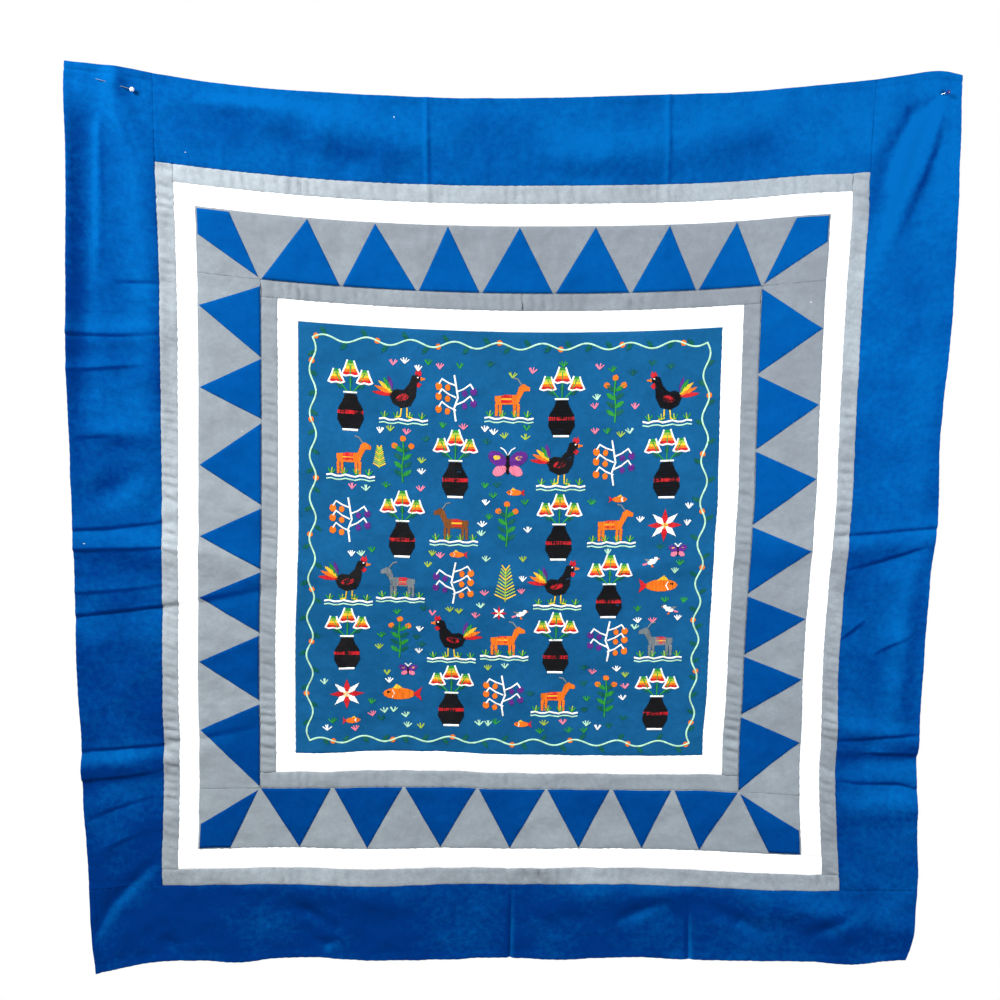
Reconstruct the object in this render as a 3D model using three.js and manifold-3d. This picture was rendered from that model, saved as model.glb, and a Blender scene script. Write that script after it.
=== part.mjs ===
// Pieced and embroidered cloth hanging with the two straight pins that hold its top corners.
// Millimetres, +Z up. The origin lies midway between the top corners, where the hanging is
// held. +X runs to the viewer's right and the front of the cloth faces -Y.
import * as THREE from 'three';
import { mergeVertices } from 'three/addons/utils/BufferGeometryUtils.js';
import Module from 'manifold-3d';

const wasm = await Module();
wasm.setup();

// Sizes of the flat pieces.
const PANEL_WIDTH = 436;
const PANEL_HEIGHT = 488;
const THICKNESS = 1.6;
const SEAM_GAP = 0.3;

// Frames sewn round the panel, from the inside out. Where a corner says 'sides', the side
// strips run on to the outer edge, and where it says 'rows', the top or bottom strip does.
const FRAMES = [
  { name: 'inner_white', width: 21.5, top: 'rows', bottom: 'rows', colour: 0xf7f9fb, joins: {} },
  { name: 'inner_grey', width: 17.5, top: 'rows', bottom: 'rows', colour: 0x98a2ae, joins: { top: 12 } },
  { name: 'triangle_band', width: 66, top: 'rows', bottom: 'rows', colour: 0x9aa4b0, joins: {} },
  { name: 'outer_white', width: 21.5, top: 'rows', bottom: 'rows', colour: 0xf7f9fb, joins: {} },
  { name: 'outer_grey', width: 17.5, top: 'sides', bottom: 'rows', colour: 0x98a2ae, joins: {} },
  { name: 'blue_border', width: 88, top: 'sides', bottom: 'rows', colour: 0x075eaa, joins: { bottom: 12 } },
];
const PANEL_COLOUR = 0x1c5f94;
const CLOTH_ROUGHNESS = 0.9;

const frameDepth = FRAMES.reduce((sum, frame) => sum + frame.width, 0);
const HALF_WIDTH = PANEL_WIDTH / 2 + frameDepth;
const HALF_HEIGHT = PANEL_HEIGHT / 2 + frameDepth;
const BORDER_SEAM = HALF_WIDTH - FRAMES.at(-1).width;
const BORDER_SEAM_UP = HALF_HEIGHT - FRAMES.at(-1).width;

// Levels of the hung cloth, from the hem to the top edge. sag lowers the middle, the edge and
// seam columns move the sides in x, and the drop columns lower the corners.
const LEVEL_COLUMNS = ['sag', 'leftEdge', 'leftSeam', 'rightSeam', 'rightEdge', 'leftDrop', 'rightDrop'];
const LEVELS = [
  { v: -476, sag: -7.7, leftEdge: 10.5, leftSeam: -2.5, rightSeam: 16, rightEdge: -3.5, leftDrop: 14, rightDrop: -15 },
  { v: -240, sag: -8.5, leftEdge: -2.5, leftSeam: -2, rightSeam: -2.5, rightEdge: -2, leftDrop: -1.5, rightDrop: 4.5 },
  { v: 0, sag: 18, leftEdge: -2.5, leftSeam: 2, rightSeam: -3, rightEdge: -1.5, leftDrop: 1, rightDrop: -6 },
  { v: 240, sag: 31, leftEdge: -3.5, leftSeam: 0.5, rightSeam: 1, rightEdge: 2, leftDrop: 0, rightDrop: -7 },
  { v: 476, sag: 31, leftEdge: -1, leftSeam: -1.5, rightSeam: 2, rightEdge: 0.5, leftDrop: 2, rightDrop: -1 },
];

// How far the hung cloth strays from those levels: up along the top and the bottom, and to the
// right along the left and right sides. Each curve is [place along the side, stray], at the
// panel's edge, at the border's seam and at the hem.
const STRAYS = {
  top: {
    panel: [[-218, 0], [218, 0]],
    seam: [[-362, 1], [-200, 0.6], [-104, 1.4], [-23, 2.6], [58, 3.8], [220, 3], [300, 4], [342, 1.8], [450, 0]],
    hem: [[-450, 0], [-395, 1.5], [-355, -0.5], [-313, -2.4], [-250, -3.4], [-150, -2.3], [-60, -1.8],
      [-20, -0.8], [60, 1.2], [140, 2.6], [230, 2.8], [312, 5], [355, 5.6], [397, 7], [420, 7.4],
      [436, 5], [450, 0]],
  },
  bottom: {
    panel: [[-218, -0.5], [-173, 0.2], [-141, 2.3], [-45, 2], [-12, 0], [115, 1.4], [160, 2.4], [190, 4], [218, 6]],
    seam: [[-357, 1.3], [-314, 0], [-227, 0], [-184, -2.4], [-140, -5], [-97, -4.3], [-40, -2.4], [32, -2],
      [119, 0.8], [163, 1], [206, -0.2], [250, -1.8], [337, -3], [450, 0]],
    hem: [[-450, 0], [-412, 4.4], [-368, 8.6], [-325, 6.8], [-281, 2.5], [-238, 5.7], [-195, 5.2], [-151, 0.8],
      [-108, 0], [-64, 0.9], [-21, 3.1], [22, 3.5], [65, 2], [109, 4.8], [152, 5.4], [196, 3.1], [283, 0.9],
      [326, 0.3], [370, -3.9], [413, -1.3], [450, 0]],
  },
  left: {
    panel: [[-226, -1.6], [-135, -2.5], [-88, -2.4], [-43, -1.1], [20, 0], [244, 0]],
    seam: [[-476, 0], [-361, -1.4], [-316, 0.9], [-226, 2.4], [-182, 0.9], [40, 0.9], [125, 1.8], [210, 3],
      [290, 3.2], [330, 2.4], [388, 0.7], [476, 0]],
    hem: [[-476, 0], [-425, -1.7], [-355, 1.5], [-288, 1.2], [-222, 3.1], [-155, 0.7], [-25, 0], [40, -1.2],
      [102, -1.2], [165, -1.9], [225, -0.2], [285, 0.6], [340, 2], [400, 1.6], [455, -0.8], [476, 0]],
  },
  right: {
    panel: [[-219, -1.7], [-174, 1], [-81, 1.1], [10, 1.8], [56, 3.2], [102, 2.4], [190, 0.7], [244, 0]],
    seam: [[-476, 0], [-350, -0.4], [-260, -1.4], [-215, 0.3], [-125, -2], [-36, -1.2], [51, 1.3], [138, -0.3],
      [262, -1.3], [343, 0.4], [382, -0.9], [476, 0]],
    hem: [[-476, 0], [-462, 4], [-440, 6.4], [-375, 7.5], [-305, 2.4], [-238, -1.6], [-168, -1.6], [-102, -1.1],
      [-35, 0.4], [30, 3.3], [92, -0.6], [155, 0.4], [218, 2.6], [280, 2.8], [400, 2], [455, 0.5], [476, 0]],
  },
};

// Folds of the hung cloth. Each runs through its points (across, up), and at each point it
// stands that far toward the viewer and is that wide.
const FOLDS = {
  swell: [[-460, -30, 0, 120], [-330, -20, 6, 150], [330, -10, 6, 150], [460, -5, 0, 120]],
  topSwell: [[-300, 470, 0, 90], [-60, 470, 6, 110], [120, 470, 6, 110], [330, 470, 0, 90]],
  storageCrease: [[-454, -6, 3, 16], [-300, -24, 2, 18], [90, -30, 1.5, 18], [256, 2, 2, 18], [452, 0, 3, 16]],
  leftEdgeCurl: [[-440, 470, 0, 10], [-438, 400, 4, 13], [-440, 250, 3, 13], [-446, 120, 0, 12]],
  leftPinTrough: [[-416, 444, 0, 8], [-414, 400, -4, 12], [-416, 300, -4, 13], [-422, 230, 0, 13]],
  leftPinTuck: [[-399, 474, 3, 9], [-399, 459, 5, 9], [-397, 446, 4, 11], [-380, 400, 4, 16],
    [-368, 290, 5, 18], [-370, 170, 5, 18], [-372, 60, 0, 18]],
  leftSwag: [[-350, 462, 0, 14], [-240, 444, 5, 20], [-130, 432, 4, 22], [-40, 424, 0, 22]],
  rightSwag: [[0, 410, 0, 20], [90, 414, 4, 22], [200, 428, 4, 22], [330, 452, 0, 16]],
  rightPinTrough: [[424, 452, 0, 8], [402, 436, -5, 10], [384, 400, -5, 12], [366, 310, -2, 14], [350, 270, 0, 14]],
  rightPinRidge: [[430, 444, 0, 8], [414, 410, 5, 11], [396, 362, 4, 12], [370, 300, 0, 14]],
  rightEdgeRidge: [[444, 380, 0, 12], [438, 200, 5, 15], [440, 60, 5, 15], [446, -10, 0, 14]],
  upperLeftCrease: [[-454, 200, 3, 13], [-400, 208, 3, 14], [-340, 216, 0, 14]],
  leftWrinkle: [[-446, 104, 0, 12], [-405, 106, 3, 12], [-362, 114, 0, 12]],
  leftTrough: [[-378, 78, 0, 12], [-400, 54, -4, 15], [-440, 22, 0, 12]],
  leftSlant: [[-453, -90, 2, 12], [-400, -80, 4, 14], [-330, -66, 3, 14], [-250, -46, 0, 12]],
  lowerLeftRidge: [[-452, -242, 4, 15], [-400, -238, 5, 15], [-340, -230, 2, 15], [-270, -214, 0, 15]],
  lowerLeftTrough: [[-452, -274, -3, 15], [-400, -268, -4, 16], [-330, -256, 0, 15]],
  leftHemTrough: [[-352, -340, 0, 18], [-395, -382, -6, 22], [-440, -424, -4, 22]],
  leftHemSwell: [[-452, -330, 5, 30], [-400, -320, 3, 26], [-340, -300, 0, 24]],
  lowerRightRidge: [[340, -200, 0, 12], [390, -208, 4, 13], [450, -214, 3, 13]],
  lowerRightTrough: [[340, -250, 0, 13], [390, -243, -4, 14], [450, -236, -4, 13]],
  rightHemRidge: [[350, -292, 0, 15], [400, -284, 5, 16], [450, -278, 5, 15]],
  leftHemSwag: [[-310, -380, 0, 16], [-220, -392, 4, 20], [-130, -400, 3, 20], [-60, -410, 0, 18]],
  middleHemSwag: [[20, -410, 0, 16], [110, -400, 4, 20], [190, -396, 4, 20], [250, -390, 0, 16]],
  rightHemSwag: [[220, -384, 0, 16], [290, -404, 5, 20], [370, -424, 5, 22], [446, -438, 2, 20]],
};

// Grid of the cloth solids: its spacing, the least distance from a line to an edge, and the
// lines kept at the storage crease.
const CELL = 16;
const EDGE_SPARE = 3;
const CREASE_LINES = [-40, -22, -6, 8, 24];

// Pins: a steel shaft with a round head. The left one is woven through a small tuck and shows
// at both ends, and the right one goes in beside its head and runs on behind the cloth.
const PIN_RADIUS = 0.35;
const PIN_CLEARANCE = 0.3;
const HEAD_RADIUS = 2.4;
const PIN_POINT = 4;
const PINS = [
  { name: 'pin_left', strip: 'blue_border_left', head: [-382.5, -4.6, -29.7], tip: [-420.3, -2.4, -19.3],
    colour: 0xf2f2f0 },
  { name: 'pin_right', strip: 'blue_border_right', head: [435.4, -5, -16.7], tip: [417, 12, -21],
    colour: 0x1a2a6e },
];

const levelCurve = new THREE.CubicInterpolant(
  LEVELS.map((level) => level.v),
  LEVELS.flatMap((level) => LEVEL_COLUMNS.map((column) => level[column])),
  LEVEL_COLUMNS.length,
);

// Height of one fold at a point: full along its line and falling off to both sides.
function foldHeight(points, u, v) {
  let nearest = Infinity;
  let rise = 0;
  let width = 1;
  for (let i = 0; i + 1 < points.length; i += 1) {
    const [startU, startV, startRise, startWidth] = points[i];
    const [endU, endV, endRise, endWidth] = points[i + 1];
    const alongU = endU - startU;
    const alongV = endV - startV;
    const along = ((u - startU) * alongU + (v - startV) * alongV) / (alongU ** 2 + alongV ** 2);
    const t = THREE.MathUtils.clamp(along, 0, 1);
    const distance = Math.hypot(u - startU - t * alongU, v - startV - t * alongV);
    if (distance < nearest) {
      nearest = distance;
      rise = THREE.MathUtils.lerp(startRise, endRise, t);
      width = THREE.MathUtils.lerp(startWidth, endWidth, t);
    }
  }
  return rise * Math.exp(-((nearest / width) ** 2));
}

function relief(u, v) {
  return Object.values(FOLDS).reduce((sum, points) => sum + foldHeight(points, u, v), 0);
}

// Sideways shift of the hung cloth at a place across, from its edge and border seam shifts.
function sideShift(u, edge, seam) {
  const reach = Math.abs(u);
  if (reach < BORDER_SEAM) {
    return (seam * reach) / BORDER_SEAM;
  }
  return seam + ((edge - seam) * (reach - BORDER_SEAM)) / (HALF_WIDTH - BORDER_SEAM);
}

// Value of a curve of [place, value] points, smooth between them and level past its ends.
function curveAt(points, place) {
  const last = points.length - 1;
  const x = THREE.MathUtils.clamp(place, points[0][0], points[last][0]);
  const k = Math.max(points.findIndex(([at]) => at >= x) - 1, 0);
  const slope = (i) => {
    const [beforeAt, before] = points[Math.max(i - 1, 0)];
    const [afterAt, after] = points[Math.min(i + 1, last)];
    return (after - before) / (afterAt - beforeAt);
  };
  const [startAt, start] = points[k];
  const [endAt, end] = points[k + 1];
  const span = endAt - startAt;
  const t = (x - startAt) / span;
  return (1 + 2 * t) * (1 - t) ** 2 * start + t * (1 - t) ** 2 * span * slope(k)
    + t * t * (3 - 2 * t) * end + t * t * (t - 1) * span * slope(k + 1);
}

// Stray of one side at a place: reach is the distance from the middle, along the place beside it.
function stray(side, reach, along, panelHalf, seamHalf, hemHalf) {
  if (reach < panelHalf) {
    return (curveAt(side.panel, along) * reach) / panelHalf;
  }
  if (reach < seamHalf) {
    const t = (reach - panelHalf) / (seamHalf - panelHalf);
    return THREE.MathUtils.lerp(curveAt(side.panel, along), curveAt(side.seam, along), t);
  }
  const t = (reach - seamHalf) / (hemHalf - seamHalf);
  return THREE.MathUtils.lerp(curveAt(side.seam, along), curveAt(side.hem, along), t);
}

// Point of the hung cloth for a place on the flat cloth, off its middle layer by depth.
function hang(u, v, depth) {
  const [sag, leftEdge, leftSeam, rightSeam, rightEdge, leftDrop, rightDrop] = levelCurve.evaluate(v);
  const reach = (u / HALF_WIDTH) ** 2;
  const left = u < 0;
  const shift = left ? sideShift(u, leftEdge, leftSeam) : sideShift(u, rightEdge, rightSeam);
  const drop = (left ? leftDrop : rightDrop) * reach;
  const across = stray(left ? STRAYS.left : STRAYS.right, Math.abs(u), v, PANEL_WIDTH / 2, BORDER_SEAM, HALF_WIDTH);
  const up = stray(
    v < 0 ? STRAYS.bottom : STRAYS.top, Math.abs(v), u, PANEL_HEIGHT / 2, BORDER_SEAM_UP, HALF_HEIGHT,
  );
  return new THREE.Vector3(
    u + shift + across, -relief(u, v) - depth, v + up - HALF_HEIGHT - sag * (1 - reach) - drop,
  );
}

// Grid lines between two edges. They lie on one grid of the whole cloth, so that the pieces on
// both sides of a seam bend at the same places.
function gridLines(from, to, kept) {
  const inside = kept.filter((line) => line > from + EDGE_SPARE && line < to - EDGE_SPARE);
  const lines = [from, ...inside, to];
  for (let line = Math.ceil(from / CELL) * CELL; line < to - EDGE_SPARE; line += CELL) {
    if (line > from + EDGE_SPARE && kept.every((other) => Math.abs(other - line) > CELL * 0.4)) {
      lines.push(line);
    }
  }
  return lines.sort((a, b) => a - b);
}

// Closed sheet of hung cloth over a rectangle of the flat cloth, cut back by half a seam gap.
function sheetGeometry(piece) {
  const trim = SEAM_GAP / 2;
  const columns = gridLines(piece.left + trim, piece.right - trim, []);
  const rows = gridLines(piece.bottom + trim, piece.top - trim, CREASE_LINES);
  const geometry = new THREE.BoxGeometry(
    columns.length - 1, rows.length - 1, THICKNESS, columns.length - 1, rows.length - 1, 1,
  );
  const position = geometry.getAttribute('position');
  for (let i = 0; i < position.count; i += 1) {
    const column = Math.round(position.getX(i) + (columns.length - 1) / 2);
    const row = Math.round(position.getY(i) + (rows.length - 1) / 2);
    const point = hang(columns[column], rows[row], position.getZ(i));
    position.setXYZ(i, point.x, point.y, point.z);
  }
  return positionOnly(geometry);
}

function positionOnly(geometry) {
  geometry.deleteAttribute('normal');
  geometry.deleteAttribute('uv');
  return mergeVertices(geometry, 1e-5);
}

function toSolid(geometry) {
  return new wasm.Manifold(new wasm.Mesh({
    numProp: 3,
    vertProperties: new Float32Array(geometry.getAttribute('position').array),
    triVerts: new Uint32Array(geometry.getIndex().array),
  }));
}

function fromSolid(solid) {
  const mesh = solid.getMesh();
  const geometry = new THREE.BufferGeometry();
  geometry.setAttribute('position', new THREE.BufferAttribute(mesh.vertProperties, 3));
  geometry.setIndex(new THREE.BufferAttribute(mesh.triVerts, 1));
  return geometry;
}

// Round rod from one point toward another, as a lathed profile of (radius, height) pairs.
function rodGeometry(from, to, profile, sides) {
  const geometry = new THREE.LatheGeometry(profile.map(([r, h]) => new THREE.Vector2(r, h)), sides);
  const direction = new THREE.Vector3().subVectors(to, from).normalize();
  geometry.applyQuaternion(new THREE.Quaternion().setFromUnitVectors(new THREE.Vector3(0, 1, 0), direction));
  geometry.translate(from.x, from.y, from.z);
  return positionOnly(geometry);
}

function pinEnds(pin) {
  return [new THREE.Vector3(...pin.head), new THREE.Vector3(...pin.tip)];
}

function pinShaft(pin) {
  const [head, tip] = pinEnds(pin);
  const length = head.distanceTo(tip);
  const start = HEAD_RADIUS + PIN_CLEARANCE;
  const profile = [[0, start], [PIN_RADIUS, start], [PIN_RADIUS, length - PIN_POINT], [0, length]];
  return rodGeometry(head, tip, profile, 10);
}

function pinHole(pin) {
  const [head, tip] = pinEnds(pin);
  const length = head.distanceTo(tip);
  const radius = PIN_RADIUS + PIN_CLEARANCE;
  return rodGeometry(head, tip, [[0, 0], [radius, 0], [radius, length + 2], [0, length + 2]], 10);
}

// The four strips of a frame, with a strip cut in two where its frame states a join.
function frameStrips(frame, inner, outer) {
  const sideTop = frame.top === 'sides' ? outer.height : inner.height;
  const sideBottom = frame.bottom === 'sides' ? outer.height : inner.height;
  const topReach = frame.top === 'sides' ? inner.width : outer.width;
  const bottomReach = frame.bottom === 'sides' ? inner.width : outer.width;
  const strips = [
    { side: 'left', left: -outer.width, right: -inner.width, bottom: -sideBottom, top: sideTop },
    { side: 'right', left: inner.width, right: outer.width, bottom: -sideBottom, top: sideTop },
    { side: 'top', left: -topReach, right: topReach, bottom: inner.height, top: outer.height },
    { side: 'bottom', left: -bottomReach, right: bottomReach, bottom: -outer.height, top: -inner.height },
  ];
  return strips.flatMap((strip) => {
    const join = frame.joins[strip.side];
    const name = `${frame.name}_${strip.side}`;
    if (join === undefined) {
      return [{ ...strip, name }];
    }
    return [{ ...strip, name: `${name}_a`, right: join }, { ...strip, name: `${name}_b`, left: join }];
  });
}

const group = new THREE.Group();

function addMesh(name, geometry, colour, roughness, metalness) {
  const mesh = new THREE.Mesh(geometry, new THREE.MeshStandardMaterial({ color: colour, roughness, metalness }));
  mesh.name = name;
  group.add(mesh);
}

function addCloth(piece, colour) {
  const holes = PINS.filter((pin) => pin.strip === piece.name);
  let geometry = sheetGeometry(piece);
  for (const pin of holes) {
    geometry = fromSolid(toSolid(geometry).subtract(toSolid(pinHole(pin))));
  }
  addMesh(piece.name, geometry, colour, CLOTH_ROUGHNESS, 0);
}

addCloth({
  name: 'centre_panel',
  left: -PANEL_WIDTH / 2,
  right: PANEL_WIDTH / 2,
  bottom: -PANEL_HEIGHT / 2,
  top: PANEL_HEIGHT / 2,
}, PANEL_COLOUR);

let inner = { width: PANEL_WIDTH / 2, height: PANEL_HEIGHT / 2 };
for (const frame of FRAMES) {
  const outer = { width: inner.width + frame.width, height: inner.height + frame.width };
  for (const strip of frameStrips(frame, inner, outer)) {
    addCloth(strip, frame.colour);
  }
  inner = outer;
}

for (const pin of PINS) {
  const [head] = pinEnds(pin);
  const ball = new THREE.SphereGeometry(HEAD_RADIUS, 14, 10);
  ball.translate(head.x, head.y, head.z);
  addMesh(`${pin.name}_shaft`, pinShaft(pin), 0xb9bcc0, 0.3, 1);
  addMesh(`${pin.name}_head`, positionOnly(ball), pin.colour, 0.35, 0);
}

export default group;
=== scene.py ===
"""Embroidered and pieced cloth hanging, held by a straight pin at each top corner.

The cloth is laid out flat, in millimetres across (u) and up (v) from its middle, and every
piece is then hung on the same folded surface as the solids.
"""
import logging
import math
import random
from dataclasses import dataclass, field
from enum import Enum
from typing import Any, Callable, Sequence

import bmesh
import bpy
import numpy as np
from mathutils import Matrix, Vector


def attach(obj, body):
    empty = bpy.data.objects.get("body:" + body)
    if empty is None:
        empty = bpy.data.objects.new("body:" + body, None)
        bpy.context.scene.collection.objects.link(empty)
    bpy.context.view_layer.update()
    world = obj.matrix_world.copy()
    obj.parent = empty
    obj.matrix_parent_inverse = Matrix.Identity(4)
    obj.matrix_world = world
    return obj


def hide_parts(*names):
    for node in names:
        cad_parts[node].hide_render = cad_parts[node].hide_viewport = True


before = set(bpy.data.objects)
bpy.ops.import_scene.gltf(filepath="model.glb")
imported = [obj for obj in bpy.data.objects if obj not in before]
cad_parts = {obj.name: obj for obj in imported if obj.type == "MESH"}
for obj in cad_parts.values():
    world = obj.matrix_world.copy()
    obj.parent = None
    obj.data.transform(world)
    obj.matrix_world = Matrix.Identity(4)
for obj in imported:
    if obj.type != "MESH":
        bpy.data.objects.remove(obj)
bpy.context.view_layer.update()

LOG = logging.getLogger("hanging")
MM = 0.001
SEED = 4

FlatPoint = tuple[float, float]
Curve = tuple[FlatPoint, ...]
Line = tuple[tuple[float, float, float, float], ...]


def sign(operation: str, reflected: bool = False) -> Callable[["Signal", Any], "Signal"]:
    """Return the method of one arithmetic sign.

    Args:
        operation: The Math node's operation.
        reflected: Whether the signal stands on the right of the sign.

    Returns:
        The method.
    """
    def apply(signal: "Signal", other: Any) -> "Signal":
        """Return the result as a new signal."""
        pair = {0: other, 1: signal} if reflected else {0: signal, 1: other}
        return signal.bench.signal("ShaderNodeMath", {"operation": operation}, pair)

    return apply


class Signal:
    """A shader socket that takes part in arithmetic."""

    def __init__(self, bench: "NodeBench", socket: bpy.types.NodeSocket) -> None:
        """Keep the socket and the bench that adds its nodes."""
        self.bench = bench
        self.socket = socket

    __add__ = sign("ADD")
    __radd__ = sign("ADD", reflected=True)
    __sub__ = sign("SUBTRACT")
    __rsub__ = sign("SUBTRACT", reflected=True)
    __mul__ = sign("MULTIPLY")
    __rmul__ = sign("MULTIPLY", reflected=True)


class NodeBench:
    """Builds the node tree of one material."""

    def __init__(self, name: str) -> None:
        """Start a material with a Principled shader.

        Args:
            name: Name of the material.
        """
        self.material = bpy.data.materials.new(name)
        self.material.use_nodes = True
        self.tree = self.material.node_tree
        self.shader = self.tree.nodes["Principled BSDF"]

    def node(self, kind: str, settings: dict[str, Any], inputs: dict[Any, Any]) -> bpy.types.Node:
        """Add a node.

        Args:
            kind: Type of the node.
            settings: Properties that are set before the sockets are filled.
            inputs: Value or link of each named or numbered socket.

        Returns:
            The new node.
        """
        made = self.tree.nodes.new(kind)
        for key, value in settings.items():
            setattr(made, key, value)
        for key, value in inputs.items():
            self.feed(made.inputs[key], value)
        return made

    def feed(self, socket: bpy.types.NodeSocket, value: Any) -> None:
        """Link or set one socket."""
        if isinstance(value, Signal):
            self.tree.links.new(value.socket, socket)
        else:
            socket.default_value = value

    def signal(self, kind: str, settings: dict[str, Any], inputs: dict[Any, Any], output: Any = 0) -> Signal:
        """Add a node and return one of its outputs."""
        return Signal(self, self.node(kind, settings, inputs).outputs[output])

    def noise(self, place: Signal, scale: float, detail: float = 3.0, roughness: float = 0.55) -> Signal:
        """Return a noise value over a place."""
        inputs = {"Vector": place, "Scale": scale, "Detail": detail, "Roughness": roughness}
        return self.signal("ShaderNodeTexNoise", {}, inputs, "Fac")

    def tint(self, colour: Sequence[float] | Signal, strength: Signal) -> Signal:
        """Return a colour scaled by a value."""
        colour = colour if isinstance(colour, Signal) else tuple(colour)
        return self.signal("ShaderNodeVectorMath", {"operation": "SCALE"}, {0: colour, "Scale": strength})

    def bump(self, height: Signal, strength: float) -> None:
        """Raise the surface by a height in metres."""
        inputs = {"Height": height, "Distance": 1.0, "Strength": strength}
        self.feed(self.shader.inputs["Normal"], self.signal("ShaderNodeBump", {}, inputs, "Normal"))


@dataclass(frozen=True)
class ClothFinish:
    """Plain-woven cotton. The counts are waves or spots a metre, and the heights are in metres."""

    name: str
    colour: tuple[float, float, float]
    faded_and_lit: tuple[float, float, float]
    slot: str
    mottle: float = 0.8
    crumple: float = 0.7
    # How faded the cloth is at its middle, and how much lighter it is painted a metre to the right and up:
    # painted light, the lamps' fall-off laid into the colour.
    fade_with_light_gradient: tuple[float, float, float] = (0.4, 0.0, 0.0)
    # How much lighter the slopes that face the window lamp are painted: painted light on the folds.
    slope_light_paint: float = 0.0
    warp_count: float = 420.0
    weft_count: float = 390.0
    fibre_count: float = 700.0
    patch_count: float = 13.0
    wear_count: float = 150.0
    crumple_count: float = 42.0
    weave_height: float = 0.00012
    fibre_height: float = 0.0001
    crumple_height: float = 0.0022

    def weave(self, bench: NodeBench, flat: Signal, direction: str, count: float) -> Signal:
        """Return the waves of the warp or the weft."""
        settings = {"bands_direction": direction}
        inputs = {"Vector": flat, "Scale": count, "Distortion": 1.2, "Detail": 1.0}
        return bench.signal("ShaderNodeTexWave", settings, inputs)

    def material(self) -> bpy.types.Material:
        """Return the cloth's material, on its own flat coordinates."""
        bench = NodeBench(self.name)
        flat = bench.signal("ShaderNodeUVMap", {"uv_map": "flat"}, {}, "UV")
        across = self.weave(bench, flat, "X", self.warp_count)
        up = self.weave(bench, flat, "Y", self.weft_count)
        fibre = bench.noise(flat, self.fibre_count, 2.0)
        patches = bench.noise(flat, self.patch_count, 6.0, 0.65)
        wear = bench.noise(flat, self.wear_count, 4.0, 0.7)
        split = bench.node("ShaderNodeSeparateXYZ", {}, {0: flat})
        # Patches and wear are real fading. The rise to the right and up is painted light: the colour is
        # lighter where the lamps fall more strongly.
        middle, right, painted_light_up = self.fade_with_light_gradient
        fade_and_painted_light = (((patches - 0.5) * 1.2 + (wear - 0.5) * patches * 1.8) * self.mottle + middle
                + right * Signal(bench, split.outputs[0]) + painted_light_up * Signal(bench, split.outputs[1]))
        # Painted light: slopes that face the window lamp are mixed toward the lighter colour.
        if self.slope_light_paint:
            lean = bench.signal("ShaderNodeAttribute", {"attribute_name": "lean"}, {}, "Fac")
            fade_and_painted_light = fade_and_painted_light + lean * self.slope_light_paint
        colour = bench.signal("ShaderNodeMix", {"data_type": "RGBA"},
                              {0: fade_and_painted_light, 6: (*self.colour, 1.0), 7: (*self.faded_and_lit, 1.0)}, 2)
        shade = 0.84 + 0.16 * fibre + 0.1 * across * up + 0.08 * patches
        bench.feed(bench.shader.inputs["Base Color"], bench.tint(colour, shade))
        crumples = bench.noise(flat, self.crumple_count, 5.0, 0.6)
        height = (across * up * self.weave_height + fibre * self.fibre_height
                  + crumples * self.crumple_height * self.crumple)
        bench.bump(height, 0.8)
        bench.feed(bench.shader.inputs["Roughness"], 0.86 + 0.1 * fibre)
        bench.shader.inputs["Specular IOR Level"].default_value = 0.004
        return bench.material


@dataclass(frozen=True)
class ThreadFinish:
    """Embroidery cotton of one colour."""

    name: str
    colour: tuple[float, float, float]
    twist_count: float = 1400.0
    twist_height: float = 0.0002

    def material(self) -> bpy.types.Material:
        """Return the thread's material, with a shade for each stitch."""
        bench = NodeBench(self.name)
        shade = bench.signal("ShaderNodeAttribute", {"attribute_name": "shade"}, {}, "Fac")
        place = bench.signal("ShaderNodeTexCoord", {}, {}, "Object")
        twist = bench.noise(place, self.twist_count, 2.0)
        strength = shade * (0.9 + 0.2 * twist)
        bench.feed(bench.shader.inputs["Base Color"], bench.tint(self.colour, strength))
        bench.bump(twist * self.twist_height, 0.7)
        bench.feed(bench.shader.inputs["Roughness"], 0.5 + 0.2 * twist)
        bench.shader.inputs["Specular IOR Level"].default_value = 0.12
        return bench.material


@dataclass(frozen=True)
class PinFinish:
    """Polished shaft or glazed head of a pin."""

    name: str
    colour: tuple[float, float, float]
    metal: float
    roughness: float
    coat: float = 0.0
    mark_count: float = 2500.0

    def material(self) -> bpy.types.Material:
        """Return the pin's material with fine drawing marks."""
        bench = NodeBench(self.name)
        place = bench.signal("ShaderNodeTexCoord", {}, {}, "Object")
        marks = bench.noise(place, self.mark_count, 2.0)
        bench.feed(bench.shader.inputs["Base Color"], bench.tint(self.colour, 0.93 + 0.12 * marks))
        bench.feed(bench.shader.inputs["Roughness"], self.roughness * (0.8 + 0.4 * marks))
        bench.shader.inputs["Metallic"].default_value = self.metal
        bench.shader.inputs["Coat Weight"].default_value = self.coat
        return bench.material


class Thread(Enum):
    """Embroidery threads."""

    WHITE = (0.86, 0.88, 0.86)
    BLACK = (0.0025, 0.0025, 0.004)
    RED = (0.55, 0.012, 0.02)
    ORANGE = (0.80, 0.17, 0.01)
    YELLOW = (0.85, 0.52, 0.03)
    GREEN = (0.02, 0.26, 0.035)
    DEEP_GREEN = (0.002, 0.10, 0.075)
    LIME = (0.32, 0.46, 0.05)
    MINT = (0.42, 0.72, 0.52)
    PURPLE = (0.11, 0.02, 0.22)
    PINK = (0.78, 0.20, 0.30)
    BROWN = (0.20, 0.065, 0.015)
    GREY = (0.16, 0.19, 0.21)


# The tuple of each cotton is its painted light by place: lighter to the right and up, or to the left and down
# where negative. The last number paints light on slopes that face the window lamp.
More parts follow.
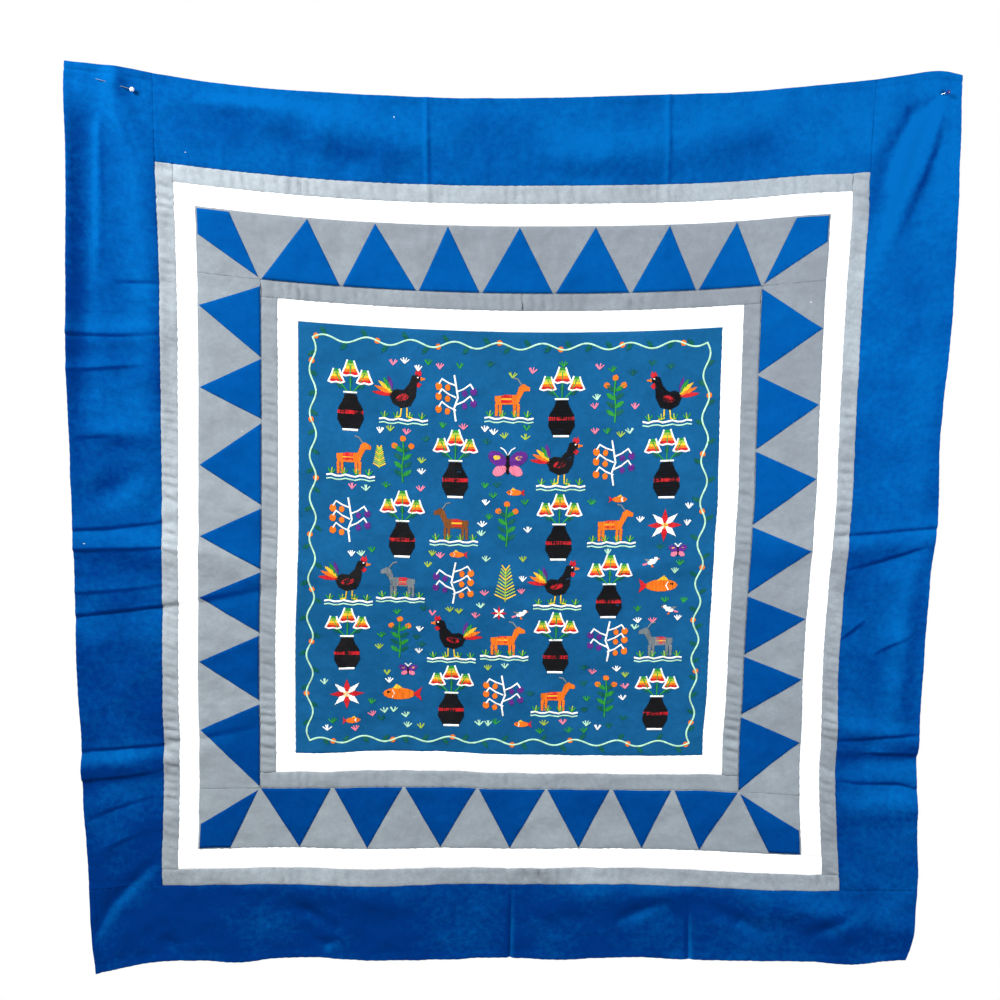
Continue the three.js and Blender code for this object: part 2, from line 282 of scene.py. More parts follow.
BLUE_COTTON = ClothFinish("blue_cotton", (0.0002, 0.027, 0.170), (0.0006, 0.092, 0.325), "blue_cloth",
                          1.2, 0.8, (0.42, 0.28, 0.76), 1.7)
TRIANGLE_COTTON = ClothFinish("triangle_cotton", (0.0002, 0.027, 0.172), (0.0006, 0.088, 0.315), "blue_cloth",
                              0.5, 0.5, (0.5, 0.15, 0.6), 1.6)
PANEL_COTTON = ClothFinish("panel_cotton", (0.005, 0.068, 0.170), (0.010, 0.110, 0.285), "panel_cloth",
                           1.0, 0.6)
GREY_COTTON = ClothFinish("grey_cotton", (0.19, 0.213, 0.243), (0.30, 0.345, 0.38), "grey_cloth", 0.8, 1.0,
                          (0.35, -0.3, -0.65), 1.0)
OUTER_GREY_COTTON = ClothFinish("outer_grey_cotton", (0.21, 0.235, 0.265), (0.44, 0.5, 0.545), "grey_cloth",
                                0.8, 1.0, (0.3, -0.2, 0.25), 1.0)
WHITE_COTTON = ClothFinish("white_cotton", (0.92, 0.935, 0.95), (0.96, 0.97, 0.98), "white_cloth", 0.5, 0.3)
PIN_STEEL = PinFinish("pin_steel", (0.42, 0.45, 0.50), 1.0, 0.3)
WHITE_GLAZE = PinFinish("white_glaze", (0.86, 0.86, 0.84), 0.0, 0.25, 0.6)
NAVY_GLAZE = PinFinish("navy_glaze", (0.012, 0.02, 0.17), 0.0, 0.2, 0.8)


# Folds and creases run through points of (across, up, rise toward the viewer, width), in
# millimetres. The creases show in the scene alone.
FOLDS: dict[str, Line] = {
    "swell": ((-460, -30, 0, 120), (-330, -20, 6, 150), (330, -10, 6, 150), (460, -5, 0, 120)),
    "top_swell": ((-300, 470, 0, 90), (-60, 470, 6, 110), (120, 470, 6, 110), (330, 470, 0, 90)),
    "storage_crease": ((-454, -6, 3, 16), (-300, -24, 2, 18), (90, -30, 1.5, 18), (256, 2, 2, 18),
        (452, 0, 3, 16)),
    "left_edge_curl": ((-453, 470, 0, 10), (-453, 400, 6, 14), (-454, 250, 6, 14), (-454, 120, 3, 13),
        (-453, 0, 0, 12)),
    "left_pin_trough": ((-428, 444, 0, 8), (-430, 400, -2, 11), (-430, 300, -2.4, 11),
        (-432, 180, -1.5, 11), (-434, 90, 0, 12)),
    "left_pin_tuck": ((-399, 474, 3, 9), (-399, 459, 5, 9), (-397, 446, 4, 11), (-380, 400, 4, 16),
        (-368, 290, 5, 18), (-370, 170, 5, 18), (-372, 60, 0, 18)),
    "left_swag": ((-350, 462, 0, 14), (-240, 444, 5, 20), (-130, 432, 4, 22), (-40, 424, 0, 22)),
    "right_swag": ((0, 410, 0, 20), (90, 414, 4, 22), (200, 428, 4, 22), (330, 452, 0, 16)),
    "right_pin_trough": ((424, 452, 0, 8), (402, 436, -5, 10), (384, 400, -5, 12), (366, 310, -2, 14),
        (350, 270, 0, 14)),
    "right_pin_ridge": ((430, 444, 0, 8), (414, 410, 5, 11), (396, 362, 4, 12), (370, 300, 0, 14)),
    "right_edge_ridge": ((444, 380, 0, 12), (438, 200, 2, 15), (440, 60, 2, 15), (446, -10, 0, 14)),
    "right_lower_ridge": ((436, -10, 0, 11), (430, -60, 4, 12), (426, -160, 4, 13), (428, -205, 2, 12),
        (430, -240, 0, 12)),
    "upper_left_crease": ((-454, 200, 3, 13), (-400, 208, 3, 14), (-340, 216, 0, 14)),
    "left_wrinkle": ((-446, 104, 0, 12), (-405, 106, 3, 12), (-362, 114, 0, 12)),
    "left_trough": ((-378, 78, 0, 12), (-400, 54, -4, 15), (-440, 22, 0, 12)),
    "lower_left_ridge": ((-452, -256, 3, 12), (-400, -252, 4, 13), (-340, -242, 2, 13),
        (-270, -226, 0, 13)),
    "lower_left_trough": ((-452, -280, -2, 15), (-400, -274, -2, 16), (-330, -262, 0, 15)),
    "left_hem_trough": ((-352, -340, 0, 18), (-395, -382, -1.6, 22), (-440, -424, -0.8, 22)),
    "left_hem_swell": ((-452, -340, 0.6, 30), (-400, -330, 0.5, 26), (-340, -310, 0, 24)),
    "lower_right_ridge": ((340, -200, 0, 12), (390, -208, 4, 13), (450, -214, 3, 13)),
    "lower_right_trough": ((340, -250, 0, 13), (390, -243, -4, 14), (450, -236, -4, 13)),
    "right_hem_ridge": ((350, -302, 0, 15), (400, -294, 3, 17), (450, -288, 3, 16)),
    "left_hem_swag": ((-310, -380, 0, 16), (-220, -392, 4, 20), (-130, -400, 3, 20), (-60, -410, 0, 18)),
    "middle_hem_swag": ((20, -410, 0, 16), (110, -400, 4, 20), (190, -396, 4, 20), (250, -390, 0, 16)),
    "right_hem_swag": ((220, -384, 0, 16), (290, -404, 5, 20), (370, -424, 5, 22), (446, -438, 2, 20)),
}
CREASES: dict[str, Line] = {
    "right_pull_a": ((430, 462, 0.2, 4), (405, 420, -1.6, 5), (380, 340, -1, 6), (368, 300, 0, 6)),
    "right_pull_b": ((432, 452, 0, 4), (420, 400, 1.4, 5), (392, 330, 0.6, 6), (380, 300, 0, 6)),
    "left_pull_a": ((-400, 440, 0, 3), (-388, 420, -1.2, 4), (-368, 372, 0, 5)),
    "left_pull_b": ((-412, 445, 0, 3), (-418, 400, 1, 4), (-420, 300, 1, 5), (-424, 240, 0, 5)),
    "top_fold_left": ((-88, 474, 0.6, 2.5), (-87, 430, 0.9, 2.5), (-86, 390, 0.5, 2.5), (-84, 300, 0, 3)),
    "top_fold_right": ((154, 474, 0.6, 2.5), (155, 430, 0.9, 2.5), (156, 392, 0.5, 2.5), (156, 300, 0, 3)),
    "hem_fold": ((12, -392, 0, 2.5), (12, -440, -1.3, 2.5), (12, -476, -1.6, 2.5)),
    "hem_pleat": ((202, -400, 0, 2.5), (201, -436, -1.2, 2.5), (201, -474, -1.6, 2.5)),
    "panel_crease": ((-214, -36, 0.3, 3), (-100, -40, 0.6, 3), (10, -36, 0.7, 3), (120, -20, 0.5, 3),
        (214, 2, 0.4, 3)),
    "top_dent_a": ((-190, 414, 0, 9), (-165, 408, -1, 12), (-130, 404, 0, 9)),
    "top_dent_b": ((10, 404, 0, 9), (60, 398, -1.2, 12), (128, 396, 0, 9)),
    "top_ripple": ((-330, 452, 0, 7), (-260, 456, 1.2, 7), (-180, 452, 0, 7)),
    "hem_dent_a": ((-226, -413, 0, 6), (-205, -422, -1.8, 7), (-176, -440, -0.6, 6)),
    "hem_dent_b": ((-206, -455, 0, 5), (-186, -460, -1.8, 6), (-168, -452, 0, 6)),
    "hem_dent_c": ((112, -438, 0, 7), (146, -422, -2.2, 9), (186, -405, 0, 6)),
    "hem_dent_d": ((226, -408, 0, 6), (256, -428, -2.4, 9), (290, -447, 0, 7)),
    "hem_dent_e": ((322, -447, 0, 6), (350, -432, -2, 8), (388, -409, 0, 6)),
    "hem_diagonal": ((-364, -358, 0, 6), (-396, -382, -2, 8), (-424, -405, -2.2, 9), (-442, -432, -1, 8)),
    "low_left_wrinkle": ((-364, -446, 0, 4), (-356, -455, -1.2, 5), (-347, -466, 0, 4)),
}
# A tuck rises softly on one side of its line and ends sharply on the other. Its soft side is
# above the line where the rise is positive, and below the line where it is negative.
TUCKS: dict[str, Line] = {
    "left_line": ((-453, -1, -2.2, 9), (-415, 4, -2, 10), (-361, 16, -1.2, 9), (-320, 14, 0, 8)),
    "left_line_low": ((-453, -19, 2.2, 9), (-420, -15, 2.2, 10), (-362, -8, 1.6, 9), (-322, -10, 1.2, 8),
        (-258, -18, 0, 8)),
    "upper_left_line": ((-454, 201, -1.7, 9), (-400, 207, -1.5, 9), (-361, 214, -0.3, 8)),
    "upper_left_low": ((-454, 167, 1.7, 9), (-410, 176, 1.3, 9), (-362, 186, 0, 8)),
    "upper_left_short": ((-408, 260, 0, 6), (-388, 263, -1.2, 7), (-361, 266, -0.6, 7)),
    "left_short": ((-452, 92, 0, 6), (-432, 98, -1, 7), (-400, 104, 0, 6)),
    "slant": ((-453, -95, -2.6, 16), (-364, -78, -2.6, 18), (-321, -70, -2.4, 16), (-261, -54, -1, 12),
        (-236, -48, 0, 10)),
    "slant_high": ((-453, -66, 1.2, 8), (-400, -58, 1.2, 8), (-362, -50, 0, 7)),
    "lower_left_line": ((-452, -242, -2.4, 12), (-366, -236, -2.4, 12), (-323, -229, -1.8, 11),
        (-262, -216, -0.5, 9)),
    "lower_left_low": ((-452, -270, 2.2, 12), (-402, -266, 2.4, 12), (-364, -260, 0.8, 10)),
    "low_left_line": ((-448, -316, 0, 8), (-420, -306, -1.6, 10), (-364, -290, 0, 8)),
    "low_left_arc": ((-446, -352, 0, 8), (-416, -338, 1.3, 10), (-366, -322, 0, 8)),
    "right_line": ((300, 6, 0, 6), (359, 10, -1.7, 8), (440, 10, -2.1, 9), (453, 10, -1.5, 8)),
    "right_line_low": ((362, -28, 0, 7), (395, -22, -2.6, 12), (429, -13, -2, 12), (446, -9, 0, 8)),
    "right_slope": ((359, -105, 0, 8), (372, -93, 2.4, 13), (386, -81, 0, 9)),
    "right_slope_low": ((392, -122, 0, 8), (412, -110, 1.8, 12), (440, -96, 0, 8)),
    "right_wrinkle": ((362, -221, -1, 7), (398, -216, -2.3, 10), (436, -210, -2, 10), (453, -208, 0, 8)),
    "right_wrinkle_mid": ((384, -232, 0, 6), (410, -230, 2.4, 9), (448, -228, 2.2, 9)),
    "right_wrinkle_low": ((362, -266, 0, 7), (386, -268, -1.8, 14), (430, -266, -2.2, 14),
        (455, -270, -1.6, 12)),
}
# How far the cloth strays from the levels on each side, at the panel's edge, at the border's
# seam and at the hem: up along the top and bottom, to the right along the left and right.
STRAYS: dict[str, tuple[Curve, ...]] = {
    "top": (
        ((-218, 0), (218, 0)),
        ((-362, 1), (-200, 0.6), (-104, 1.4), (-23, 2.6), (58, 3.8), (220, 3), (300, 4), (342, 1.8),
         (450, 0)),
        ((-450, 0), (-395, 1.5), (-355, -0.5), (-313, -2.4), (-250, -3.4), (-150, -2.3), (-60, -1.8),
         (-20, -0.8), (60, 1.2), (140, 2.6), (230, 2.8), (312, 5), (355, 5.6), (397, 7), (420, 7.4),
         (436, 5), (450, 0)),
    ),
    "bottom": (
        ((-218, -0.5), (-173, 0.2), (-141, 2.3), (-45, 2), (-12, 0), (115, 1.4), (160, 2.4), (190, 4),
         (218, 6)),
        ((-357, 1.3), (-314, 0), (-227, 0), (-184, -2.4), (-140, -5), (-97, -4.3), (-40, -2.4), (32, -2),
         (119, 0.8), (163, 1), (206, -0.2), (250, -1.8), (337, -3), (450, 0)),
        ((-450, 0), (-412, 4.4), (-368, 8.6), (-325, 6.8), (-281, 2.5), (-238, 5.7), (-195, 5.2),
         (-151, 0.8), (-108, 0), (-64, 0.9), (-21, 3.1), (22, 3.5), (65, 2), (109, 4.8), (152, 5.4),
         (196, 3.1), (283, 0.9), (326, 0.3), (370, -3.9), (413, -1.3), (450, 0)),
    ),
    "left": (
        ((-226, -1.6), (-135, -2.5), (-88, -2.4), (-43, -1.1), (20, 0), (244, 0)),
        ((-476, 0), (-361, -1.4), (-316, 0.9), (-226, 2.4), (-182, 0.9), (40, 0.9), (125, 1.8), (210, 3),
         (290, 3.2), (330, 2.4), (388, 0.7), (476, 0)),
        ((-476, 0), (-425, -1.7), (-355, 1.5), (-288, 1.2), (-222, 3.1), (-155, 0.7), (-25, 0), (40, -1.2),
         (102, -1.2), (165, -1.9), (225, -0.2), (285, 0.6), (340, 2), (400, 1.6), (455, -0.8), (476, 0)),
    ),
    "right": (
        ((-219, -1.7), (-174, 1), (-81, 1.1), (10, 1.8), (56, 3.2), (102, 2.4), (190, 0.7), (244, 0)),
        ((-476, 0), (-350, -0.4), (-260, -1.4), (-215, 0.3), (-125, -2), (-36, -1.2), (51, 1.3),
         (138, -0.3), (262, -1.3), (343, 0.4), (382, -0.9), (476, 0)),
        ((-476, 0), (-462, 4), (-440, 6.4), (-375, 7.5), (-305, 2.4), (-238, -1.6), (-168, -1.6),
         (-102, -1.1), (-35, 0.4), (30, 3.3), (92, -0.6), (155, 0.4), (218, 2.6), (280, 2.8), (400, 2),
         (455, 0.5), (476, 0)),
    ),
}


@dataclass
class HungSurface:
    """Shape of the hanging: how a place on the flat cloth hangs, in metres.

    Levels are in millimetres. A level gives its height, the sag of the middle, the sideways shift
    of the left edge, left seam, right seam and right edge, and the drop of the two corners.
    """

    half_width: float = 450.0
    half_height: float = 476.0
    border_seam: float = 362.0
    levels: tuple[tuple[float, ...], ...] = (
        (-476, -7.7, 10.5, -2.5, 16, -3.5, 14, -15),
        (-240, -8.5, -2.5, -2, -2.5, -2, -1.5, 4.5),
        (0, 18, -2.5, 2, -3, -1.5, 1, -6),
        (240, 31, -3.5, 0.5, 1, 2, 0, -7),
        (476, 31, -1, -1.5, 2, 0.5, 2, -1),
    )
    folds: dict[str, Line] = field(default_factory=lambda: FOLDS)
    creases: dict[str, Line] = field(default_factory=lambda: CREASES)
    tucks: dict[str, Line] = field(default_factory=lambda: TUCKS)
    strays: dict[str, tuple[Curve, ...]] = field(default_factory=lambda: STRAYS)
    crease_gain: float = 1.6
    # Width of a tuck's sharp side on the border and on the frames.
    sharp: float = 2.3
    sharp_on_frames: float = 4.5
    step: float = 1.0
    spare: float = 8.0
    crumple_waves: int = 26
    crumple_lengths: FlatPoint = (34, 130)
    crumple_height: float = 0.34
    frames_width: float = 144.0
    border_width: float = 88.0

    def __post_init__(self) -> None:
        """Sample the relief once on a fine grid."""
        self.cols = np.arange(-self.half_width - self.spare, self.half_width + self.spare, self.step)
        self.rows = np.arange(-self.half_height - self.spare, self.half_height + self.spare, self.step)
        u, v = np.meshgrid(self.cols, self.rows)
        relief = np.zeros_like(u)
        for points in self.folds.values():
            relief += self.fold(points, u, v)
        for points in self.creases.values():
            relief += self.crease_gain * self.fold(points, u, v)
        for points in self.tucks.values():
            relief += self.tuck(points, u, v)
        self.relief_grid = relief + self.crumple(u, v)
        # Painted light: how much each slope faces the window lamp, up and to the left, kept for the cloth's
        # colour.
        rise_up, rise_across = np.gradient(relief, self.step)
        self.lit_slope_grid = 0.6 * rise_across - 0.75 * rise_up

    @staticmethod
    def fold(points: Line, u: np.ndarray, v: np.ndarray) -> np.ndarray:
        """Return the height of one fold over the flat cloth."""
        nearest = np.full(u.shape, np.inf)
        rise = np.zeros_like(u)
        width = np.ones_like(u)
        for (u0, v0, rise0, width0), (u1, v1, rise1, width1) in zip(points[:-1], points[1:]):
            du, dv = u1 - u0, v1 - v0
            t = np.clip(((u - u0) * du + (v - v0) * dv) / (du * du + dv * dv), 0.0, 1.0)
            distance = np.hypot(u - u0 - t * du, v - v0 - t * dv)
            closer = distance < nearest
            nearest = np.where(closer, distance, nearest)
            rise = np.where(closer, rise0 + (rise1 - rise0) * t, rise)
            width = np.where(closer, width0 + (width1 - width0) * t, width)
        return rise * np.exp(-((nearest / width) ** 2))

    def tuck(self, points: Line, u: np.ndarray, v: np.ndarray) -> np.ndarray:
        """Return the height of one tuck, its points from left to right."""
        steep = np.where(np.abs(u) < self.border_seam, self.sharp_on_frames, self.sharp)
        nearest = np.full(u.shape, np.inf)
        height = np.zeros_like(u)
        for (u0, v0, rise0, width0), (u1, v1, rise1, width1) in zip(points[:-1], points[1:]):
            du, dv = u1 - u0, v1 - v0
            t = np.clip(((u - u0) * du + (v - v0) * dv) / (du * du + dv * dv), 0.0, 1.0)
            off_u, off_v = u - u0 - t * du, v - v0 - t * dv
            distance = np.hypot(off_u, off_v)
            rise = rise0 + (rise1 - rise0) * t
            soft = (du * off_v - dv * off_u > 0) == (rise > 0)
            width = width0 + (width1 - width0) * t
            slope = np.clip(1 - distance / (2 * width), 0, 1) ** 1.4
            shape = np.where(soft, slope, np.exp(-((distance / steep) ** 2)))
            height = np.where(distance < nearest, rise * shape, height)
            nearest = np.minimum(nearest, distance)
        return height

    def crumple(self, u: np.ndarray, v: np.ndarray) -> np.ndarray:
        """Return the small soft unevenness of handled cotton."""
        draw = random.Random(SEED)
        height = np.zeros_like(u)
        for _ in range(self.crumple_waves):
            angle = draw.uniform(0, math.pi)
            wave = 2 * math.pi / draw.uniform(*self.crumple_lengths)
            along = (u * math.cos(angle) + v * math.sin(angle)) * wave + draw.uniform(0, 6.28)
            sideways = (v * math.cos(angle) - u * math.sin(angle)) * wave
            bend = 1.4 * np.sin(sideways * 0.6 + draw.uniform(0, 6.28))
            height += (1 - np.abs(np.sin(along + bend))) * self.crumple_height / (wave * 16)
        return height - height.mean()

    @staticmethod
    def curve(points: Sequence[FlatPoint], place: np.ndarray) -> np.ndarray:
        """Return the value of a curve of (place, value) points, smooth between and level past its ends."""
        at, value = np.array(points, float).T
        slope = np.empty_like(value)
        slope[1:-1] = (value[2:] - value[:-2]) / (at[2:] - at[:-2])
        slope[0] = (value[1] - value[0]) / (at[1] - at[0])
        slope[-1] = (value[-1] - value[-2]) / (at[-1] - at[-2])
        place = np.clip(place, at[0], at[-1])
        k = np.clip(np.searchsorted(at, place) - 1, 0, len(at) - 2)
        span = at[k + 1] - at[k]
        t = (place - at[k]) / span
        return ((1 + 2 * t) * (1 - t) ** 2 * value[k] + t * (1 - t) ** 2 * span * slope[k]
                + t * t * (3 - 2 * t) * value[k + 1] + t * t * (t - 1) * span * slope[k + 1])

    def level(self, column: int, v: np.ndarray) -> np.ndarray:
        """Return one column of the levels, smoothly between its rows."""
        return self.curve([(row[0], row[column]) for row in self.levels], v)

    def stray(self, side: str, reach: np.ndarray, along: np.ndarray, panel_half: float) -> np.ndarray:
        """Return the stray of one side at a reach from the middle and a place along the side."""
        panel, seam, hem = (self.curve(points, along) for points in self.strays[side])
        seam_half = panel_half + self.frames_width
        framed = panel + (seam - panel) * (reach - panel_half) / self.frames_width
        bordered = seam + (hem - seam) * (reach - seam_half) / self.border_width
        outside = np.where(reach < seam_half, framed, bordered)
        return np.where(reach < panel_half, panel * reach / panel_half, outside)

    def sample(self, grid: np.ndarray, u: np.ndarray, v: np.ndarray) -> np.ndarray:
        """Return the value of a grid over the flat cloth, straight between its points."""
        x = np.clip((u - self.cols[0]) / self.step, 0, len(self.cols) - 1.001)
        y = np.clip((v - self.rows[0]) / self.step, 0, len(self.rows) - 1.001)
        i, j = x.astype(int), y.astype(int)
        s, t = x - i, y - j
        return ((grid[j, i] * (1 - s) + grid[j, i + 1] * s) * (1 - t)
                + (grid[j + 1, i] * (1 - s) + grid[j + 1, i + 1] * s) * t)

    def hang(self, u: np.ndarray, v: np.ndarray, depth: np.ndarray | float) -> np.ndarray:
        """Hang places of the flat cloth.

        Args:
            u: Places across, in millimetres.
            v: Places up, in millimetres.
            depth: Distance in front of the cloth's middle layer, in millimetres.

        Returns:
            One row of x, y and z in metres for each place.
        """
        reach = np.abs(u)
        share = (u / self.half_width) ** 2
        left = u < 0
        edge = np.where(left, self.level(2, v), self.level(5, v))
        seam = np.where(left, self.level(3, v), self.level(4, v))
        beyond = (reach - self.border_seam) / (self.half_width - self.border_seam)
        shift = np.where(reach < self.border_seam, seam * reach / self.border_seam,
                         seam + (edge - seam) * beyond)
        drop = np.where(left, self.level(6, v), self.level(7, v)) * share
        across_half = self.border_seam - self.frames_width
        up_half = self.half_height - self.border_width - self.frames_width
        across = np.where(left, self.stray("left", reach, v, across_half),
                          self.stray("right", reach, v, across_half))
        height = np.abs(v)
        up = np.where(v < 0, self.stray("bottom", height, u, up_half), self.stray("top", height, u, up_half))
        z = v + up - self.half_height - self.level(1, v) * (1 - share) - drop
        return np.stack([u + shift + across, -self.sample(self.relief_grid, u, v) - depth, z], axis=-1) * MM


def link(name: str, mesh: bpy.types.Mesh) -> bpy.types.Object:
    """Put a mesh into the scene as a piece."""
    piece = bpy.data.objects.new(name, mesh)
    bpy.context.scene.collection.objects.link(piece)
    return piece


def smooth(mesh: bpy.types.Mesh) -> None:
    """Shade a mesh smooth."""
    mesh.polygons.foreach_set("use_smooth", [True] * len(mesh.polygons))


@dataclass(frozen=True)
class Patch:
    """A rectangle of the flat cloth, in millimetres."""

    left: float
    right: float
    bottom: float
    top: float


@dataclass
class ClothMaker:
    """Makes hung cloth from flat shapes."""

    surface: HungSurface
    cell: float = 3.2
    narrow_cell: float = 2.4
    narrow: float = 30.0
    border_cell: float = 1.6
    thickness: float = 1.2
    patch_thickness: float = 0.3
    patch_lift: float = 0.78
    patch_crown: float = 0.22
    gap: float = 0.06
    close: tuple[float, float, float] = (0.7, 1.6, 3.2)
    ditch: float = 0.5
    ditch_width: float = 1.3
    hem: float = 8.2
    hem_rise: float = 0.55
    hem_groove: float = 0.9
    hem_groove_width: float = 1.4
    pucker_run: float = 12.5
    fine_pucker_run: float = 7.5
    seam_wave: float = 0.28
    seam_wave_run: float = 9.0

    def lines(self, low: float, high: float, cell: float) -> np.ndarray:
        """Return grid lines between two edges, closer together beside the edges."""
        first, second, third = self.close
        inner = np.linspace(low + third, high - third, max(4, round((high - low) / cell)))
        return np.concatenate([[low, low + first, low + second], inner, [high - second, high - first, high]])

    def places(self, mesh: bpy.types.Mesh) -> np.ndarray:
        """Return the places of a mesh's points, one row each."""
        flat = np.empty(len(mesh.vertices) * 3, dtype=np.float32)
        mesh.vertices.foreach_get("co", flat)
        return flat.reshape(-1, 3)

    def hang_sheet(self, mesh: bpy.types.Mesh, u: np.ndarray, v: np.ndarray, depth: np.ndarray,
                   thickness: float, finish: ClothFinish) -> bpy.types.Object:
        """Hang a flat mesh and make it a piece of cloth.

        Args:
            mesh: The flat mesh, under its piece's name.
            u: Place across of each point, in millimetres.
            v: Place up of each point, in millimetres.
            depth: Height of each point above the hung surface, in millimetres.
            thickness: Thickness of the cloth, in millimetres.
            finish: Its cotton.

        Returns:
            The hung piece.
        """
        mesh.vertices.foreach_set("co", self.surface.hang(u, v, depth).astype(np.float32).ravel())
        self.flat_uv(mesh, np.stack([u, v], axis=-1))
        smooth(mesh)
        piece = link(mesh.name, mesh)
        solid = piece.modifiers.new("thickness", "SOLIDIFY")
        solid.thickness = thickness * MM
        solid.offset = 0.0
        mesh.materials.append(finish_material(finish))
        return piece

    def flat_uv(self, mesh: bpy.types.Mesh, places: np.ndarray) -> None:
        """Store the flat place of each corner, in metres, as the piece's own map, and how much it faces the
        window lamp, for painted light.
        """
        lean = mesh.attributes.new("lean", "FLOAT", "POINT")
        lit_slopes = self.surface.sample(self.surface.lit_slope_grid, places[:, 0], places[:, 1])
        lean.data.foreach_set("value", lit_slopes.astype(np.float32))
        layer = mesh.uv_layers.new(name="flat")
        index = np.empty(len(mesh.loops), dtype=np.int32)
        mesh.loops.foreach_get("vertex_index", index)
        layer.data.foreach_set("uv", (places[index] * MM).astype(np.float32).ravel())

    def strip(self, name: str, patch: Patch, puckers: float, free: str, finish: ClothFinish,
              shown: float = 0.0) -> bpy.types.Object:
        """Hang one strip with its seams drawn in.

        Args:
            name: Name of the piece.
            patch: Its place on the flat cloth.
            puckers: Height of the puckers across a narrow strip, in millimetres.
            free: Letters of the sides that are hems: l, r, b or t. A capital letter is a side whose
                seam doesn't show.
            finish: Its cotton.
            shown: How far from the middle the seam of a capital letter still shows.

        Returns:
            The hung piece.
        """
        width = min(patch.right - patch.left, patch.top - patch.bottom)
        cell = self.narrow_cell if width < self.narrow else self.cell
        upright = patch.top - patch.bottom > patch.right - patch.left
        run_cell = self.border_cell if finish is BLUE_COTTON else cell
        us = self.lines(patch.left + self.gap, patch.right - self.gap, cell if upright else run_cell)
        vs = self.lines(patch.bottom + self.gap, patch.top - self.gap, run_cell if upright else cell)
        form = bmesh.new()
        bmesh.ops.create_grid(form, x_segments=len(us) - 1, y_segments=len(vs) - 1, size=1.0)
        mesh = bpy.data.meshes.new(name)
        form.to_mesh(mesh)
        form.free()
        flat = self.places(mesh)
        u = us[np.rint((flat[:, 0] + 1) / 2 * (len(us) - 1)).astype(int)]
        v = vs[np.rint((flat[:, 1] + 1) / 2 * (len(vs) - 1)).astype(int)]
        sides = {"l": u - patch.left, "r": patch.right - u, "b": v - patch.bottom, "t": patch.top - v}
        depth = np.zeros_like(u)
        for side, distance in sides.items():
            if side in free:
                depth += self.hem_rise * np.exp(-((distance / 7.0) ** 4))
                depth -= self.hem_groove * np.exp(-(((distance - self.hem) / self.hem_groove_width) ** 2))
            else:
                seen = np.abs(u) < (shown if side.upper() in free else np.inf)
                depth -= self.ditch * np.exp(-((distance / self.ditch_width) ** 2)) * seen
        run, across = (v, u - patch.left) if upright else (u, v - patch.bottom)
        swell = np.sin(np.pi * np.clip(across / width, 0, 1)) ** 0.6
        phase = (1.5 * np.sin(run / 31.0 + patch.left) + 0.9 * np.sin(run / 11.0 + patch.bottom)
                 + 0.05 * across)
        ridges = 2 * np.abs(np.sin(run * np.pi / self.pucker_run + phase)) - 1.3
        ridges *= 1 + 0.5 * np.sin(run / 19.0 + phase)
        fine_ridges = np.sin(run * 2 * np.pi / self.fine_pucker_run + 2.0 * phase + 0.2 * across)
        depth += puckers * (ridges * (0.6 + 0.4 * np.sin(run / 47.0)) + 0.3 * fine_ridges) * swell
        near = np.minimum.reduce(list(sides.values()))
        if puckers < 0.3:
            waves = np.sin(run * 2 * np.pi / self.seam_wave_run + phase)
            depth += self.seam_wave * waves * np.exp(-near / 6.0)
        return self.hang_sheet(mesh, u, v, depth, self.thickness, finish)

    def cut_shape(self, form: bmesh.types.BMesh, corners: Sequence[FlatPoint]) -> None:
        """Add a shape cut from a fine flat grid along straight edges, its corners anticlockwise."""
        low = Vector((min(c[0] for c in corners), min(c[1] for c in corners)))
        high = Vector((max(c[0] for c in corners), max(c[1] for c in corners)))
        size = high - low
        fresh = bmesh.new()
        place = Matrix.Translation((low.x + size.x / 2, low.y + size.y / 2, 0)) @ Matrix.Diagonal(
            (size.x / 2, size.y / 2, 1, 1))
        bmesh.ops.create_grid(fresh, x_segments=max(2, round(size.x / self.cell)),
                              y_segments=max(2, round(size.y / self.cell)), size=1.0, matrix=place)
        for start, end in zip(corners, (*corners[1:], corners[0])):
            edge = Vector((end[0] - start[0], end[1] - start[1], 0))
            everything = [*fresh.verts, *fresh.edges, *fresh.faces]
            bmesh.ops.bisect_plane(fresh, geom=everything, dist=1e-4, plane_co=(*start, 0),
                                   plane_no=(edge.y, -edge.x, 0), clear_outer=True)
        mesh = bpy.data.meshes.new("cut")
        fresh.to_mesh(mesh)
        fresh.free()
        form.from_mesh(mesh)
        bpy.data.meshes.remove(mesh)

    def applique(self, name: str, shapes: Sequence[Sequence[FlatPoint]],
                 finish: ClothFinish) -> bpy.types.Object:
        """Make the pieced patches of one band, with their turned edges sunk a little.

        Args:
            name: Name of the piece.
            shapes: Corners of each patch, anticlockwise, in millimetres on the flat cloth.
            finish: Their cotton.

        Returns:
            The patches as one piece.
        """
        form = bmesh.new()
        for corners in shapes:
            self.cut_shape(form, corners)
        mesh = bpy.data.meshes.new(name)
        form.to_mesh(mesh)
        form.free()
        u, v, _ = self.places(mesh).T.astype(float)
        inside = np.zeros_like(u)
        for corners in shapes:
            edge_distance = np.full(u.shape, np.inf)
            for start, end in zip(corners, (*corners[1:], corners[0])):
                du, dv = end[0] - start[0], end[1] - start[1]
                signed = (du * (v - start[1]) - dv * (u - start[0])) / math.hypot(du, dv)
                edge_distance = np.minimum(edge_distance, signed)
            inside = np.maximum(inside, edge_distance)
        depth = self.patch_lift + self.patch_crown * (1 - np.exp(-inside / 2.0))
        depth += 0.08 * np.sin(u / 5.0) * np.sin(v / 6.0)
        return self.hang_sheet(mesh, u, v, depth, self.patch_thickness, finish)


MATERIALS: dict[str, bpy.types.Material] = {}


def finish_material(finish: ClothFinish | ThreadFinish | PinFinish) -> bpy.types.Material:
    """Return the one material of a finish."""
    if finish.name not in MATERIALS:
        MATERIALS[finish.name] = finish.material()
    return MATERIALS[finish.name]


